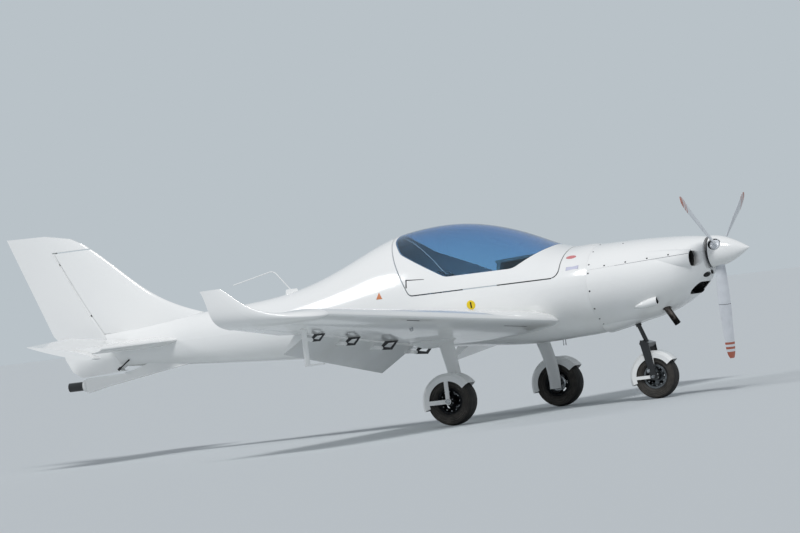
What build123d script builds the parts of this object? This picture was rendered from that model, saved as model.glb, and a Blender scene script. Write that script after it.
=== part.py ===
from build123d import *
from math import cos, radians, sin
import os

os.makedirs("parts", exist_ok=True)

# Low-wing two-seat ultralight, in millimetres. +X is forward, +Y is to port, +Z is up.
# The origin is on the ground, below the middle of the whole length.

# Clearances
seat_gap = 0.3          # between pieces that are set against each other
shaft_gap = 0.05        # round a pin or shaft in its bore
panel_gap = 0.8         # shut line between fixed panels
canopy_slot_gap = 7.0   # each side of the hinge arms of the canopy
canopy_gap = 9.0        # shut line round the canopy
surface_gap = 7.0       # round the nose of a control surface
flap_end_gap = 17.0     # at the ends of a flap, whose hinge line is swept

# Walls
body_wall = 12.0
canopy_frame_wall = 16.0
glass_wall = 5.0
cowl_wall = 7.0
guard_wall = 5.0

# Body: station X, half width, z of the top, z of the widest line, z of the bottom
firewall_x = 1990.0
body_stations = (
    (firewall_x, 450, 1256, 955, 573),
    (1790, 515, 1263, 955, 553),
    (1600, 553, 1309, 955, 545),
    (1400, 575, 1400, 955, 540),
    (1150, 582, 1492, 955, 551),
    (850, 572, 1553, 950, 580),
    (550, 535, 1556, 945, 598),
    (250, 472, 1508, 940, 608),
    (-100, 385, 1376, 930, 618),
    (-500, 292, 1231, 922, 632),
    (-950, 215, 1150, 916, 657),
    (-1440, 155, 1121, 910, 693),
    (-2000, 98, 1082, 905, 737),
    (-2460, 62, 1046, 902, 770),
)
tail_bulkhead_x = -2100.0
slab_half_width = 700.0

# Cowling, with the same columns
cowl_stations = (
    (firewall_x, 450, 1256, 955, 573),
    (2250, 428, 1255, 960, 611),
    (2500, 378, 1247, 970, 660),
    (2680, 318, 1235, 990, 738),
    (2800, 248, 1222, 1020, 828),
    (2872, 172, 1208, 1060, 915),
)
cowl_split_rear_z, cowl_split_front_z = 1063.0, 1100.0
cowl_front_x = cowl_stations[-1][0]

# Canopy, as side views: x and z of the corners, and the radius at each
canopy_front_x = 1785.0
canopy_sill_z = 1030.0
canopy_outline = ((300, 1680), (282, 1500), (380, 1294), (520, canopy_sill_z),
                  (canopy_front_x, canopy_sill_z), (canopy_front_x, 1680))
canopy_corner_radii = (90, 160, 60, 70)
glass_outline = ((305, 1680), (330, 1475), (425, 1368), (850, 1150), (1420, 1150), (1636, 1290), (1670, 1680))
glass_corner_radii = (60, 130, 150, 120, 40)
canopy_hinge_x, canopy_hinge_z = 1945.0, 1225.0
canopy_hinge_y = 110.0
canopy_arm_width = 12.0
canopy_boss_radius = 13.0
canopy_pin_radius = 6.0
canopy_lug_width = 10.0

# Propeller
prop_x, prop_z = 2950.0, 1086.0
spinner_base_x, spinner_tip_x = 2896.0, 3200.0
spinner_radius = 127.0
spinner_wall = 4.0
spinner_tip_radius = 3.0
spinner_fullness = 0.42
back_plate_depth = 6.0
spinner_root_hole = 50.0
prop_radius = 840.0
prop_shaft_radius = 25.0
blade_angles = (180, 60, 300)
# distance from the shaft, chord, pitch angle, thickness
blade_stations = (
    (50, 64, 52, 44),
    (150, 88, 42, 24),
    (300, 116, 31, 17),
    (500, 128, 24, 12),
    (690, 120, 19, 9),
    (800, 98, 17, 7),
    (prop_radius, 52, 16, 5),
)
blade_edge = 2.0

# Engine and its gearbox
engine_length, engine_width, engine_height = 540.0, 560.0, 300.0
engine_front_x, engine_centre_z = 2600.0, 985.0
gearbox_radius = 85.0
gearbox_front_x = 2800.0
mount_tube_radius = 12.0
mount_tube_y, mount_tube_z = 190.0, 110.0

# Wing: distance from the middle, nose x, nose z, chord
wing_root = (380, 1712, 702, 1480)
wing_tip = (4200, 1447, 976, 780)
wing_incidence = 2.0
profile_crest, profile_upper, profile_lower = 0.32, 0.086, 0.044
trailing_edge = 4.0
# Winglet: distance from the middle, rise over the wing tip, nose x, chord, tilt
winglet_stations = (
    (4320, 0, 1385, 690, 15),
    (4415, 26, 1210, 540, 38),
    (4468, 98, 990, 350, 66),
    (4484, 185, 862, 240, 76),
    (4492, 274, 752, 162, 80),
)
flap_inner_y, flap_outer_y = 650.0, 3100.0
aileron_outer_y = 4190.0
flap_share, aileron_share = 0.260, 0.262     # of the chord
flap_nose_share, aileron_nose_share = 0.043, 0.040
flap_camber_share = 0.0116
flap_hinge_drop, flap_hinge_forward = 110.0, 20.0   # from the middle of the flap's nose
flap_angle = 36.0
flap_bracket_y = (700.0, 1500.0, 2300.0, 3030.0)
flap_bracket_width = 8.0
# the bracket's corners ahead of its boss, and its opening, as it is at the innermost hinge
flap_bracket_corners = ((62, 80), (185, 80), (95, -24))
flap_bracket_opening = ((24, 8), (66, 36), (124, 36), (84, -4))
flap_pin_radius = 5.0
flap_boss_radius = 15.0
flap_lug_reach = 110.0
aileron_hinge_y = (3280.0, 3650.0, 4030.0)

# Hinges inside the noses of ailerons, elevator and rudder
hinge_arm_width = 6.0
hinge_arm_radius = 12.0
hinge_pin_radius = 4.0
hinge_side_gap = 6.0

# Tailplane and elevator
tail_z = 920.0
tailplane_root_y, tailplane_tip_y = 50.0, 1200.0
tailplane_root_nose_x, tailplane_tip_nose_x = -1694.0, -1949.0
tailplane_root_chord, tailplane_tip_chord = 975.0, 590.0
tail_profile_half = 0.045
elevator_hinge_x = -2200.0
elevator_nose_root, elevator_nose_tip = 41.0, 25.0
elevator_angle = 15.0
elevator_horn_y = 1100.0
elevator_root_y = 96.0
elevator_root_aft_y = 215.0
elevator_hinge_y = (330.0, 980.0)
torque_tube_radius = 16.0

# Fin and rudder: z, nose x, trailing edge x, half thickness
fin_stations = (
    (690, -1300, -2790, 52),
    (1060, -1330, -2878, 53),
    (1160, -1625, -2915, 50),
    (1300, -1910, -2969, 46),
    (1500, -2165, -3046, 41),
    (1740, -2445, -3138, 34),
    (1900, -2660, -3200, 27),
)
rudder_hinge_low = (-2280.0, 750.0)
rudder_hinge_high = (-2786.0, 1740.0)
rudder_nose_low, rudder_nose_high = 42.0, 27.0
rudder_outline = ((-2180, 727), (-2660, 706), (-2742, 760), (-2796, 865), (-2820, 1000), (-2880, 1070),
                  (-3200, 1900), (-2840, 1890), (-2620, 1845), (-2440, 1748), (-2786, 1748), (-2290, 727))
horn_base_z = 1748.0
fin_top_z = 1738.0
rudder_hinge_share = (0.16, 0.45, 0.90)

# Cabin fittings, as side views
seat_plane_y, seat_half_width = 212.0, 192.0
seat_shell_outline = ((1165, 640), (1175, 735), (1150, 752), (700, 672), (455, 1205), (425, 1195), (640, 600))
seat_pad_outline = ((1140, 765), (1145, 812), (760, 745), (720, 690))
back_pad_outline = ((686.0, 703.5), (745, 755), (545, 1180), (457.5, 1200.3))
panel_outline = ((1286, 940), (1276, 1205), (1262, 1212), (1262, 1226), (1500, 1240), (1650, 1240), (1650, 1228),
                 (1310, 1206), (1310, 940))
console_half_width = 55.0
console_outline = ((1180, 540), (1190, 760), (1286, 900), (1310, 900), (1340, 540))
stick_radius = 11.0
stick_path = ((1266, 540), (1250, 760), (1200, 960))

# Openings in the cowling
cheek_y, cheek_z, cheek_half_width, cheek_half_height = 232.0, 1055.0, 62.0, 63.0
# x, y, half width and half height of the cheek's own fairing
cheek_fairing = ((2450, 240, 110, 112), (2660, 240, 86, 88), (2800, cheek_y, 71, 72))
# x, y, z and radius of the scoop low on the right side, and how deep its mouth goes
scoop_stations = ((2300, -296, 735, 12), (2420, -312, 750, 33), (2500, -296, 765, 34))
scoop_mouth, scoop_wall = 60.0, 5.0
# x, z, half width and half height of the air outlet below the belly
outlet_stations = ((2480, 700, 120, 40), (2200, 650, 190, 54), (1985, 630, 215, 76))
outlet_wall = 5.0
upper_intake_z, upper_intake_width, upper_intake_height = 932.0, 64.0, 34.0
chin_intake_z, chin_intake_width, chin_intake_height = 822.0, 300.0, 86.0
exhaust_plane = Plane(origin=(2540, -150, 655), x_dir=(0, 1, 0), z_dir=(0.5, 0, -0.87))
exhaust_radius, exhaust_reach, exhaust_buried = 25.0, 105.0, 215.0
hub_radius = 60.0
hinge_arm_reach = 75.0
rudder_arm_reach = 80.0
fin_crest = 0.34

spoke_count = 5

# Small pieces
tie_down_y, tie_down_x, tie_down_radius, tie_down_width = 2450.0, 1330.0, 6.0, 8.0
tow_front_x, tow_rear_x, tow_z, tow_radius, tow_bore = -2620.0, -2790.0, 638.0, 37.0, 15.0
aerial_path = ((-690, 1172), (-850, 1375), (-1215, 1300))
aerial_radius = 4.0
pitot_y, pitot_x, pitot_low_z, pitot_chord, pitot_width = 3700.0, 1010.0, 620.0, 44.0, 12.0
pitot_reach, pitot_radius = 120.0, 6.0
drain_places = ((1590, -18, 500), (1556, 18, 500))
drain_radius, drain_length = 4.0, 70.0

# Main gear
main_axle_x, main_axle_z = 1040.0, 190.0
main_wheel_y = 1140.0
main_tyre_radius, main_tyre_width = 190.0, 150.0
main_rim_radius = 100.0
main_axle_radius = 12.0
# distance from the middle, x, z, chord, thickness
leg_stations = (
    (905, 935, 790, 150, 40),
    (945, 958, 690, 136, 38),
    (1000, 1022, 430, 112, 34),
    (1022, 1042, 150, 96, 32),
)
leg_fairing_front_x, leg_fairing_rear_x = 1070.0, 635.0
leg_fairing_y, leg_fairing_z = 945.0, 690.0
leg_fairing_half_width, leg_fairing_half_height = 62.0, 78.0
leg_fairing_stations = ((0, 0.1), (0.12, 0.62), (0.35, 0.96), (0.6, 1.0), (0.82, 0.66), (1, 0.1))
main_boss_radius, leg_boss_length = 34.0, 24.0

# Nose gear
nose_axle_x, nose_axle_z = 2310.0, 175.0
nose_tyre_radius, nose_tyre_width = 175.0, 120.0
nose_rim_radius = 95.0
nose_axle_radius = 12.0
tow_pin_radius = 10.0
tow_pin_length = 24.0
steer_x, steer_z = 2210.0, 587.0
steer_rake = 20.4
strut_tube_radius, strut_sleeve_radius = 17.0, 23.0
fork_half_gap, fork_plate = 70.0, 8.0
fork_crown_z = 440.0

sleeve_reach, sleeve_below = 230.0, 8.0
guard_radial_gap, guard_side_gap = 24.0, 14.0
guard_start, guard_sweep = -106.0, 160.0     # degrees from straight up, forward
guard_depth, guard_round = 0.72, 22.0
main_arm_width, nose_arm_width = 34.0, 26.0


def polar(radius, angle):
    return radius * cos(radians(angle)), radius * sin(radians(angle))


def blend(low, high, share):
    return low + (high - low) * share


def body_section(x, half_width, top, waist, bottom, inset=0.0):
    """A section across the body: two half ellipses that meet at the widest line."""
    with BuildSketch(Plane.YZ.offset(x)) as section:
        with BuildLine():
            for start, rise in ((0, top - waist), (90, top - waist), (180, waist - bottom), (270, waist - bottom)):
                EllipticalCenterArc((0, waist), half_width - inset, rise - inset, start_angle=start, arc_size=90)
        make_face()
    return section.sketch


def body_form(rows, inset=0.0):
    with BuildPart() as form:
        loft(sections=[body_section(*row, inset=inset) for row in rows])
    return form.part


def inner_rows(rows, front_wall, rear_x):
    """The stations of a body's hollow, which ends behind its front wall and ahead of rear_x."""
    ordered = sorted(rows, reverse=True)
    front = ordered[0]
    kept = [row for row in ordered[1:] if row[0] > rear_x]
    after = next(row for row in ordered if row[0] <= rear_x)
    before = kept[-1]
    share = (before[0] - rear_x) / (before[0] - after[0])
    rear = tuple(blend(a, b, share) for a, b in zip(before, after))
    return [(front[0] - front_wall,) + front[1:]] + kept + [rear]


def side_slab(points, radii, grow=0.0):
    """A side view as wide as the body, its corners rounded and its sides moved out by grow."""
    with BuildPart() as slab:
        with BuildSketch(Plane.XZ.offset(-slab_half_width)):
            with BuildLine():
                path = FilletPolyline(*points, radius=list(radii))
                Line(path @ 1, path @ 0)
            make_face()
            if grow:
                offset(amount=grow, kind=Kind.INTERSECTION)
        extrude(amount=2 * slab_half_width)
    return slab.part


def wing_plane(y, x, z, tilt=0.0, incidence=0.0):
    """A profile's plane: local x runs aft along the chord and local y runs up."""
    side = 1 if y > 0 else -1
    lean, nose_up = radians(tilt), radians(incidence)
    return Plane(origin=(x, y, z),
                 x_dir=(-cos(nose_up), side * sin(nose_up) * sin(lean), -sin(nose_up) * cos(lean)),
                 z_dir=(0, cos(lean), side * sin(lean)))


def profile(plane, chord, upper, lower, crest=profile_crest):
    """A wing profile: an elliptic nose as far as the crest, then arcs to a blunt trailing edge."""
    with BuildSketch(plane) as section:
        with BuildLine():
            high, low = upper * chord, lower * chord
            front, edge = crest * chord, trailing_edge / 2
            EllipticalCenterArc((front, 0), front, high, start_angle=90, arc_size=90)
            EllipticalCenterArc((front, 0), front, low, start_angle=180, arc_size=90)
            TangentArc((front, -low), (chord, -edge), tangent=(1, 0))
            Line((chord, -edge), (chord, edge))
            TangentArc((front, high), (chord, edge), tangent=(1, 0))
        make_face()
    return section.sketch


def wing_station(distance):
    """Nose x, nose z and chord of the wing at a distance from the middle."""
    share = (distance - wing_root[0]) / (wing_tip[0] - wing_root[0])
    return tuple(blend(a, b, share) for a, b in zip(wing_root[1:], wing_tip[1:]))


def wing_point(distance, side, along, up):
    """The place that lies along the chord and up from the nose of the wing's profile."""
    x, z, _ = wing_station(distance)
    nose_up = radians(wing_incidence)
    return Vector(x - along * cos(nose_up) - up * sin(nose_up), side * distance,
                  z - along * sin(nose_up) + up * cos(nose_up))


def surface_nose(distance, share, nose_share):
    """How far aft of the wing's nose a control surface has the middle of its own round nose, and its radius."""
    chord = wing_station(distance)[2]
    return chord * (1 - share + nose_share), chord * nose_share


def round_nosed_bay(side, inner, outer, share, nose_share, gap):
    """The space of a control surface: a round nose, open to the rear, between two distances."""
    faces = []
    for distance in (inner, outer):
        x, z, chord = wing_station(distance)
        along, radius = surface_nose(distance, share, nose_share)
        radius += gap
        with BuildSketch(wing_plane(side * distance, x, z, incidence=wing_incidence)) as bay:
            with BuildLine():
                up = flap_camber_share * chord
                rear = chord + 3 * trailing_edge
                Polyline((along, up + radius), (rear, up + radius), (rear, up - radius), (along, up - radius))
                ThreePointArc((along, up - radius), (along - radius, up), (along, up + radius))
            make_face()
        faces.append(bay.sketch)
    with BuildPart() as space:
        loft(sections=faces, ruled=True)
    return space.part


def hinge_plane(start, end, share):
    """A plane across a hinge line, its local x forward."""
    along = Vector(*end) - Vector(*start)
    forward = Vector(1, 0, 0) - along * (along.X / (along.length ** 2))
    return Plane(origin=Vector(*start) + along * share, x_dir=forward, z_dir=along * (-1 if along.Y > 0 else 1))


def hinge_arm(plane, reach):
    """A flat arm that comes from ahead and ends in an eye on the hinge line."""
    with BuildPart() as arm:
        with BuildSketch(plane.offset(-hinge_arm_width / 2)):
            Circle(hinge_arm_radius)
            with Locations((reach / 2, 0)):
                Rectangle(reach, 2 * hinge_arm_radius)
            Circle(hinge_pin_radius + shaft_gap, mode=Mode.SUBTRACT)
        extrude(amount=hinge_arm_width)
    return arm.part


def hinge_slot(plane, reach):
    """The room for a hinge arm in the nose of a control surface."""
    width = hinge_arm_width + 2 * hinge_side_gap
    with BuildPart() as slot:
        with BuildSketch(plane.offset(-width / 2)):
            Circle(hinge_arm_radius + hinge_side_gap)
            with Locations((reach / 2, 0)):
                Rectangle(reach, 2 * reach)
        extrude(amount=width)
    return slot.part


def hinge_pin(plane):
    length = hinge_arm_width + 4 * hinge_side_gap
    with BuildPart() as pin:
        with BuildSketch(plane.offset(-length / 2)):
            Circle(hinge_pin_radius)
        extrude(amount=length)
    return pin.part


def flap_lug(plane):
    """The flap's own lug beside a bracket, with the hinge pin that goes through the bracket."""
    with BuildPart() as lug:
        with BuildSketch(plane.offset(flap_bracket_width / 2 + 1)):
            with BuildLine():
                Polyline((0, 0.8 * flap_boss_radius), (-flap_lug_reach, 40), (-flap_lug_reach, 0),
                         (0, -0.8 * flap_boss_radius), close=True)
            make_face()
            Circle(flap_boss_radius)
        extrude(amount=flap_bracket_width)
        with BuildSketch(plane.offset(-flap_bracket_width)):
            Circle(flap_pin_radius)
        extrude(amount=2 * flap_bracket_width)
    return lug.part


def finish(part, name):
    part.label = name
    export_step(part, f"parts/{name}.step")


# Outer and inner forms of the body
outer_body = body_form(body_stations)
canopy_space = side_slab(canopy_outline, canopy_corner_radii)
canopy_limit = side_slab(canopy_outline, canopy_corner_radii, -canopy_gap)
glass_space = side_slab(glass_outline, glass_corner_radii)
glass_limit = side_slab(glass_outline, glass_corner_radii, -seat_gap)

# Nose gear line
rake = radians(steer_rake)
steer_down = Vector(sin(rake), 0, -cos(rake))
steer_plane = Plane(origin=(steer_x, 0, steer_z), x_dir=(cos(rake), 0, sin(rake)), z_dir=steer_down)

# Rudder hinge line
rudder_low = Vector(rudder_hinge_low[0], 0, rudder_hinge_low[1])
rudder_high = Vector(rudder_hinge_high[0], 0, rudder_hinge_high[1])
rudder_line = rudder_high - rudder_low
rudder_plane = Plane(origin=rudder_low, x_dir=(0, 1, 0), z_dir=rudder_line)


rudder_planes = [hinge_plane(rudder_low, rudder_high, share) for share in rudder_hinge_share]


def rudder_nose(grow, below=0.0, above=0.0):
    """The round nose of the rudder, a slim cone along the hinge line."""
    with BuildPart() as nose:
        with BuildSketch(rudder_plane.offset(-below)):
            Circle(rudder_nose_low + grow)
        with BuildSketch(rudder_plane.offset(rudder_line.length + above)):
            Circle(rudder_nose_high + grow)
        loft()
    return nose.part


with BuildPart() as rudder_bay:
    with BuildSketch(Plane.XZ):
        with BuildLine():
            Polyline((-3300, 600), rudder_hinge_low, rudder_hinge_high, (-3300, fin_top_z + 400), close=True)
        make_face()
    extrude(amount=spinner_radius, both=True)
    add(rudder_nose(surface_gap, 0, 200))

# Fuselage
with BuildPart() as fuselage:
    add(outer_body)
    with BuildSketch(Plane.XZ):
        with BuildLine():
            Polyline((-1560, 735), (-1970, 678), (-2450, 611), (-2620, 575), (-2620, 696), (-2200, 716),
                     (-1900, 800), close=True)
        make_face()
        fillet(vertices().group_by(Axis.X)[0], 14)
    extrude(amount=46, both=True)
    add(body_form(inner_rows(body_stations, body_wall, tail_bulkhead_x), body_wall), mode=Mode.SUBTRACT)
    add(canopy_space, mode=Mode.SUBTRACT)
    with BuildSketch(Plane.XZ):
        with BuildLine():
            Polyline((-3300, 700), (-2254, 700), (-2254, 750), (-2700, 1623), (-3300, 1623), close=True)
        make_face()
    extrude(amount=spinner_radius, both=True, mode=Mode.SUBTRACT)
    add(rudder_nose(surface_gap, 20), mode=Mode.SUBTRACT)
    add(hinge_arm(rudder_planes[0], rudder_arm_reach))
    with Locations(Plane.XZ):
        with Locations((elevator_hinge_x, tail_z)):
            Cylinder(torque_tube_radius + shaft_gap, 4 * elevator_root_y, mode=Mode.SUBTRACT)
    # slots for the canopy's hinge arms, and the lugs beside them
    slot_half = canopy_arm_width / 2 + canopy_slot_gap
    for side in (-1, 1):
        with BuildSketch(Plane.XZ.offset(-side * canopy_hinge_y - slot_half - canopy_lug_width)):
            with Locations((canopy_hinge_x, canopy_hinge_z + 1.5)):
                Rectangle(3 * canopy_boss_radius, 2.2 * canopy_boss_radius)
        extrude(amount=2 * (slot_half + canopy_lug_width))
        with BuildSketch(Plane.XZ.offset(-side * canopy_hinge_y - slot_half)):
            with Locations((blend(canopy_front_x, canopy_hinge_x, 0.5), canopy_hinge_z)):
                Rectangle(canopy_hinge_x - canopy_front_x + 4 * canopy_boss_radius, 12 * canopy_boss_radius)
        extrude(amount=2 * slot_half, mode=Mode.SUBTRACT)
        with BuildSketch(Plane.XZ.offset(-side * canopy_hinge_y - slot_half - canopy_lug_width)):
            with Locations((canopy_hinge_x, canopy_hinge_z)):
                Circle(canopy_pin_radius + shaft_gap)
        extrude(amount=2 * (slot_half + canopy_lug_width), mode=Mode.SUBTRACT)
finish(fuselage.part, "fuselage")

# Canopy frame and glass
with BuildPart() as canopy_frame:
    add(outer_body)
    add(body_form(body_stations, canopy_frame_wall), mode=Mode.SUBTRACT)
    add(canopy_limit, mode=Mode.INTERSECT)
    add(glass_space, mode=Mode.SUBTRACT)
    for side in (-1, 1):
        with BuildSketch(Plane.XZ.offset(-side * canopy_hinge_y - canopy_arm_width / 2)):
            with BuildLine():
                rear, edge = canopy_front_x - 60, canopy_front_x - canopy_gap - 10
                Polyline((rear, canopy_hinge_z - 45), (canopy_hinge_x, canopy_hinge_z - canopy_boss_radius),
                         (canopy_hinge_x, canopy_hinge_z + canopy_boss_radius), (edge, canopy_hinge_z + 5),
                         (edge, canopy_hinge_z + 25), (rear, canopy_hinge_z + 25), close=True)
            make_face()
            with Locations((canopy_hinge_x, canopy_hinge_z)):
                Circle(canopy_boss_radius)
        extrude(amount=canopy_arm_width)
        with BuildSketch(Plane.XZ.offset(-side * canopy_hinge_y - slot_half - canopy_lug_width)):
            with Locations((canopy_hinge_x, canopy_hinge_z)):
                Circle(canopy_pin_radius)
        extrude(amount=2 * (slot_half + canopy_lug_width))
finish(canopy_frame.part, "canopy_frame")

with BuildPart() as canopy_glass:
    add(outer_body)
    add(body_form(body_stations, glass_wall), mode=Mode.SUBTRACT)
    add(glass_limit, mode=Mode.INTERSECT)
finish(canopy_glass.part, "canopy_glass")

# Fixed interior: seats, panel, sticks
cabin_room = body_form(inner_rows(body_stations, body_wall + seat_gap, tail_bulkhead_x), body_wall + seat_gap)
with BuildPart() as canopy_room:
    add(canopy_space)
    add(body_form(body_stations, canopy_frame_wall + canopy_gap), mode=Mode.SUBTRACT)

with BuildPart() as seat_shells:
    for side in (-1, 1):
        with BuildSketch(Plane.XZ.offset(-side * seat_plane_y)):
            with BuildLine():
                Polyline(*seat_shell_outline, close=True)
            make_face()
        extrude(amount=seat_half_width, both=True)
    fillet(seat_shells.edges().filter_by(Axis.Y).group_by(Axis.Z)[-1], 10)
    add(cabin_room, mode=Mode.INTERSECT)
finish(seat_shells.part, "seat_shells")

for name, outline in (("seat_cushions", seat_pad_outline), ("back_cushions", back_pad_outline)):
    with BuildPart() as pads:
        for side in (-1, 1):
            with BuildSketch(Plane.XZ.offset(-side * seat_plane_y)):
                with BuildLine():
                    Polyline(*outline, close=True)
                make_face()
            extrude(amount=seat_half_width - 22, both=True)
        fillet(pads.edges().filter_by(Axis.Y), 12)
        add(cabin_room, mode=Mode.INTERSECT)
    finish(pads.part, name)

with BuildPart() as instrument_panel:
    with BuildSketch(Plane.XZ.offset(-slab_half_width)):
        with BuildLine():
            Polyline(*panel_outline, close=True)
        make_face()
    extrude(amount=2 * slab_half_width)
    add(cabin_room, mode=Mode.INTERSECT)
    add(canopy_room.part, mode=Mode.SUBTRACT)
finish(instrument_panel.part, "instrument_panel")

with BuildPart() as centre_console:
    with BuildSketch(Plane.XZ.offset(-console_half_width)):
        with BuildLine():
            Polyline(*console_outline, close=True)
        make_face()
    extrude(amount=2 * console_half_width)
    add(cabin_room, mode=Mode.INTERSECT)
    add(instrument_panel.part, mode=Mode.SUBTRACT)
finish(centre_console.part, "centre_console")

with BuildPart() as control_sticks:
    for side in (-1, 1):
        with BuildLine() as stick_line:
            FilletPolyline(*((x, side * seat_plane_y, z) for x, z in stick_path), radius=60)
        with BuildSketch(Plane(origin=stick_line.line @ 0, z_dir=stick_line.line % 0)):
            Circle(stick_radius)
        sweep(path=stick_line.line)
        with Locations((stick_path[-1][0], side * seat_plane_y, stick_path[-1][1])):
            Cylinder(stick_radius + 8, 110, rotation=(0, -14, 0))
    add(cabin_room, mode=Mode.INTERSECT)
finish(control_sticks.part, "control_sticks")

# Cowling
def tube_form(rows, inset=0.0):
    """A form through ellipses across the aircraft: x, y, z, half width and half height."""
    with BuildPart() as form:
        for x, y, z, half_width, half_height in rows:
            with BuildSketch(Plane.YZ.offset(x)):
                with Locations((y, z)):
                    Ellipse(half_width - inset, half_height - inset)
        loft()
    return form.part


outer_cowl = body_form(cowl_stations)
scoop_rows = [(x, y, z, radius, radius) for x, y, z, radius in scoop_stations]
outlet_rows = [(x, 0, z, half_width, half_height) for x, z, half_width, half_height in outlet_stations]
cowl_hollow = body_form([(firewall_x - 1,) + cowl_stations[0][1:]] + list(cowl_stations[1:-1])
                        + [(cowl_front_x - cowl_wall,) + tuple(blend(a, b, 0.9) for a, b in
                                                               zip(cowl_stations[-2], cowl_stations[-1]))[1:]],
                        cowl_wall)
with BuildPart() as cowling:
    add(outer_cowl)
    for side in (-1, 1):
        add(tube_form([(x, side * y, cheek_z, half_width, half_height) for x, y, half_width, half_height in cheek_fairing]))
    add(tube_form(scoop_rows))
    add(tube_form(outlet_rows))
    add(cowl_hollow, mode=Mode.SUBTRACT)
    add(tube_form(outlet_rows, outlet_wall), mode=Mode.SUBTRACT)
    with BuildSketch(Plane.YZ.offset(scoop_stations[-1][0])):
        with Locations(scoop_stations[-1][1:3]):
            Circle(scoop_stations[-1][3] - scoop_wall)
    extrude(amount=-scoop_mouth, mode=Mode.SUBTRACT)
    with BuildSketch(Plane.YZ.offset(firewall_x - 10)):
        Rectangle(2 * slab_half_width, 4 * slab_half_width)
    extrude(amount=10 + panel_gap, mode=Mode.SUBTRACT)
    # shaft opening, cheek, upper and chin intakes
    with BuildSketch(Plane.YZ.offset(gearbox_front_x - 180)):
        for side in (-1, 1):
            with Locations((side * cheek_y, cheek_z)):
                Ellipse(cheek_half_width, cheek_half_height)
        with Locations((0, upper_intake_z)):
            SlotOverall(upper_intake_width, upper_intake_height)
        with Locations((0, chin_intake_z)):
            SlotOverall(chin_intake_width, chin_intake_height)
    extrude(amount=2 * spinner_radius, mode=Mode.SUBTRACT)
    with BuildSketch(Plane.YZ.offset(gearbox_front_x - 20)):
        with Locations((0, prop_z)):
            Circle(gearbox_radius - 10)
    extrude(amount=spinner_radius, mode=Mode.SUBTRACT)
    # room for the nose leg
    with BuildSketch(steer_plane.offset(-160)):
        Circle(strut_sleeve_radius + 14)
    extrude(amount=260, mode=Mode.SUBTRACT)
    # exhaust
    with BuildSketch(exhaust_plane):
        Circle(exhaust_radius + 8)
    extrude(amount=120, both=True, mode=Mode.SUBTRACT)

for name, low, high in (("cowling_upper", panel_gap / 2, slab_half_width), ("cowling_lower", -slab_half_width, -panel_gap / 2)):
    with BuildPart() as panel:
        add(cowling.part)
        with BuildSketch(Plane.XZ.offset(-slab_half_width)):
            with BuildLine():
                Polyline((firewall_x - 10, cowl_split_rear_z + low), (cowl_front_x + 60, cowl_split_front_z + low),
                         (cowl_front_x + 60, cowl_split_front_z + high), (firewall_x - 10, cowl_split_rear_z + high), close=True)
            make_face()
        extrude(amount=2 * slab_half_width, mode=Mode.INTERSECT)
    finish(panel.part, name)

# Engine with gearbox, its mount and its exhaust
with BuildPart() as engine:
    with Locations((engine_front_x - engine_length / 2, 0, engine_centre_z)):
        Box(engine_length, engine_width, engine_height)
    fillet(engine.edges().filter_by(Axis.X), 50)
    with BuildSketch(Plane.YZ.offset(engine_front_x)):
        with Locations((0, prop_z)):
            Circle(gearbox_radius)
    extrude(amount=gearbox_front_x - engine_front_x)
    with BuildSketch(Plane.YZ.offset(engine_front_x)):
        with Locations((0, prop_z - gearbox_radius / 2)):
            Rectangle(2 * gearbox_radius, gearbox_radius)
    extrude(amount=-20)
    with BuildSketch(Plane.YZ.offset(gearbox_front_x)):
        with Locations((0, prop_z)):
            Circle(prop_shaft_radius + shaft_gap)
    extrude(amount=-120, mode=Mode.SUBTRACT)
    with BuildSketch(Plane.YZ.offset(firewall_x)):
        with Locations((0, engine_centre_z)):
            with GridLocations(2 * mount_tube_y, 2 * mount_tube_z, 2, 2):
                Circle(mount_tube_radius)
    extrude(amount=engine_front_x - engine_length - firewall_x)
finish(engine.part, "engine")

with BuildPart() as exhaust:
    with BuildSketch(exhaust_plane):
        Circle(exhaust_radius)
        Circle(exhaust_radius - 3, mode=Mode.SUBTRACT)
    extrude(amount=exhaust_reach)
    with BuildSketch(exhaust_plane):
        Circle(exhaust_radius)
    extrude(amount=-exhaust_buried)
    add(engine.part, mode=Mode.SUBTRACT)
finish(exhaust.part, "exhaust")

# Propeller
with BuildPart() as root_openings:
    for angle in blade_angles:
        y, z = polar(1, 90 - angle)
        with BuildSketch(Plane(origin=(prop_x, hub_radius * y, prop_z + hub_radius * z), x_dir=(1, 0, 0), z_dir=(0, y, z))):
            Circle(spinner_root_hole)
        extrude(amount=spinner_radius)


def spinner_form(wall):
    """The pointed dome of the spinner, wall millimetres inside its skin."""
    base_x, tip_x = spinner_base_x, spinner_tip_x - 3 * wall
    edge_z, end_z = prop_z + spinner_radius - wall, prop_z + spinner_tip_radius
    with BuildPart() as dome:
        with BuildSketch(Plane.XZ):
            with BuildLine():
                Bezier((base_x, edge_z), (blend(base_x, tip_x, spinner_fullness), edge_z), (tip_x, end_z))
                Polyline((tip_x, end_z), (tip_x, prop_z), (base_x, prop_z), (base_x, edge_z))
            make_face()
        revolve(axis=Axis((prop_x, 0, prop_z), (1, 0, 0)))
    return dome.part


with BuildPart() as spinner:
    add(spinner_form(0))
    add(spinner_form(spinner_wall), mode=Mode.SUBTRACT)
    add(root_openings.part, mode=Mode.SUBTRACT)
finish(spinner.part, "spinner")

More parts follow.
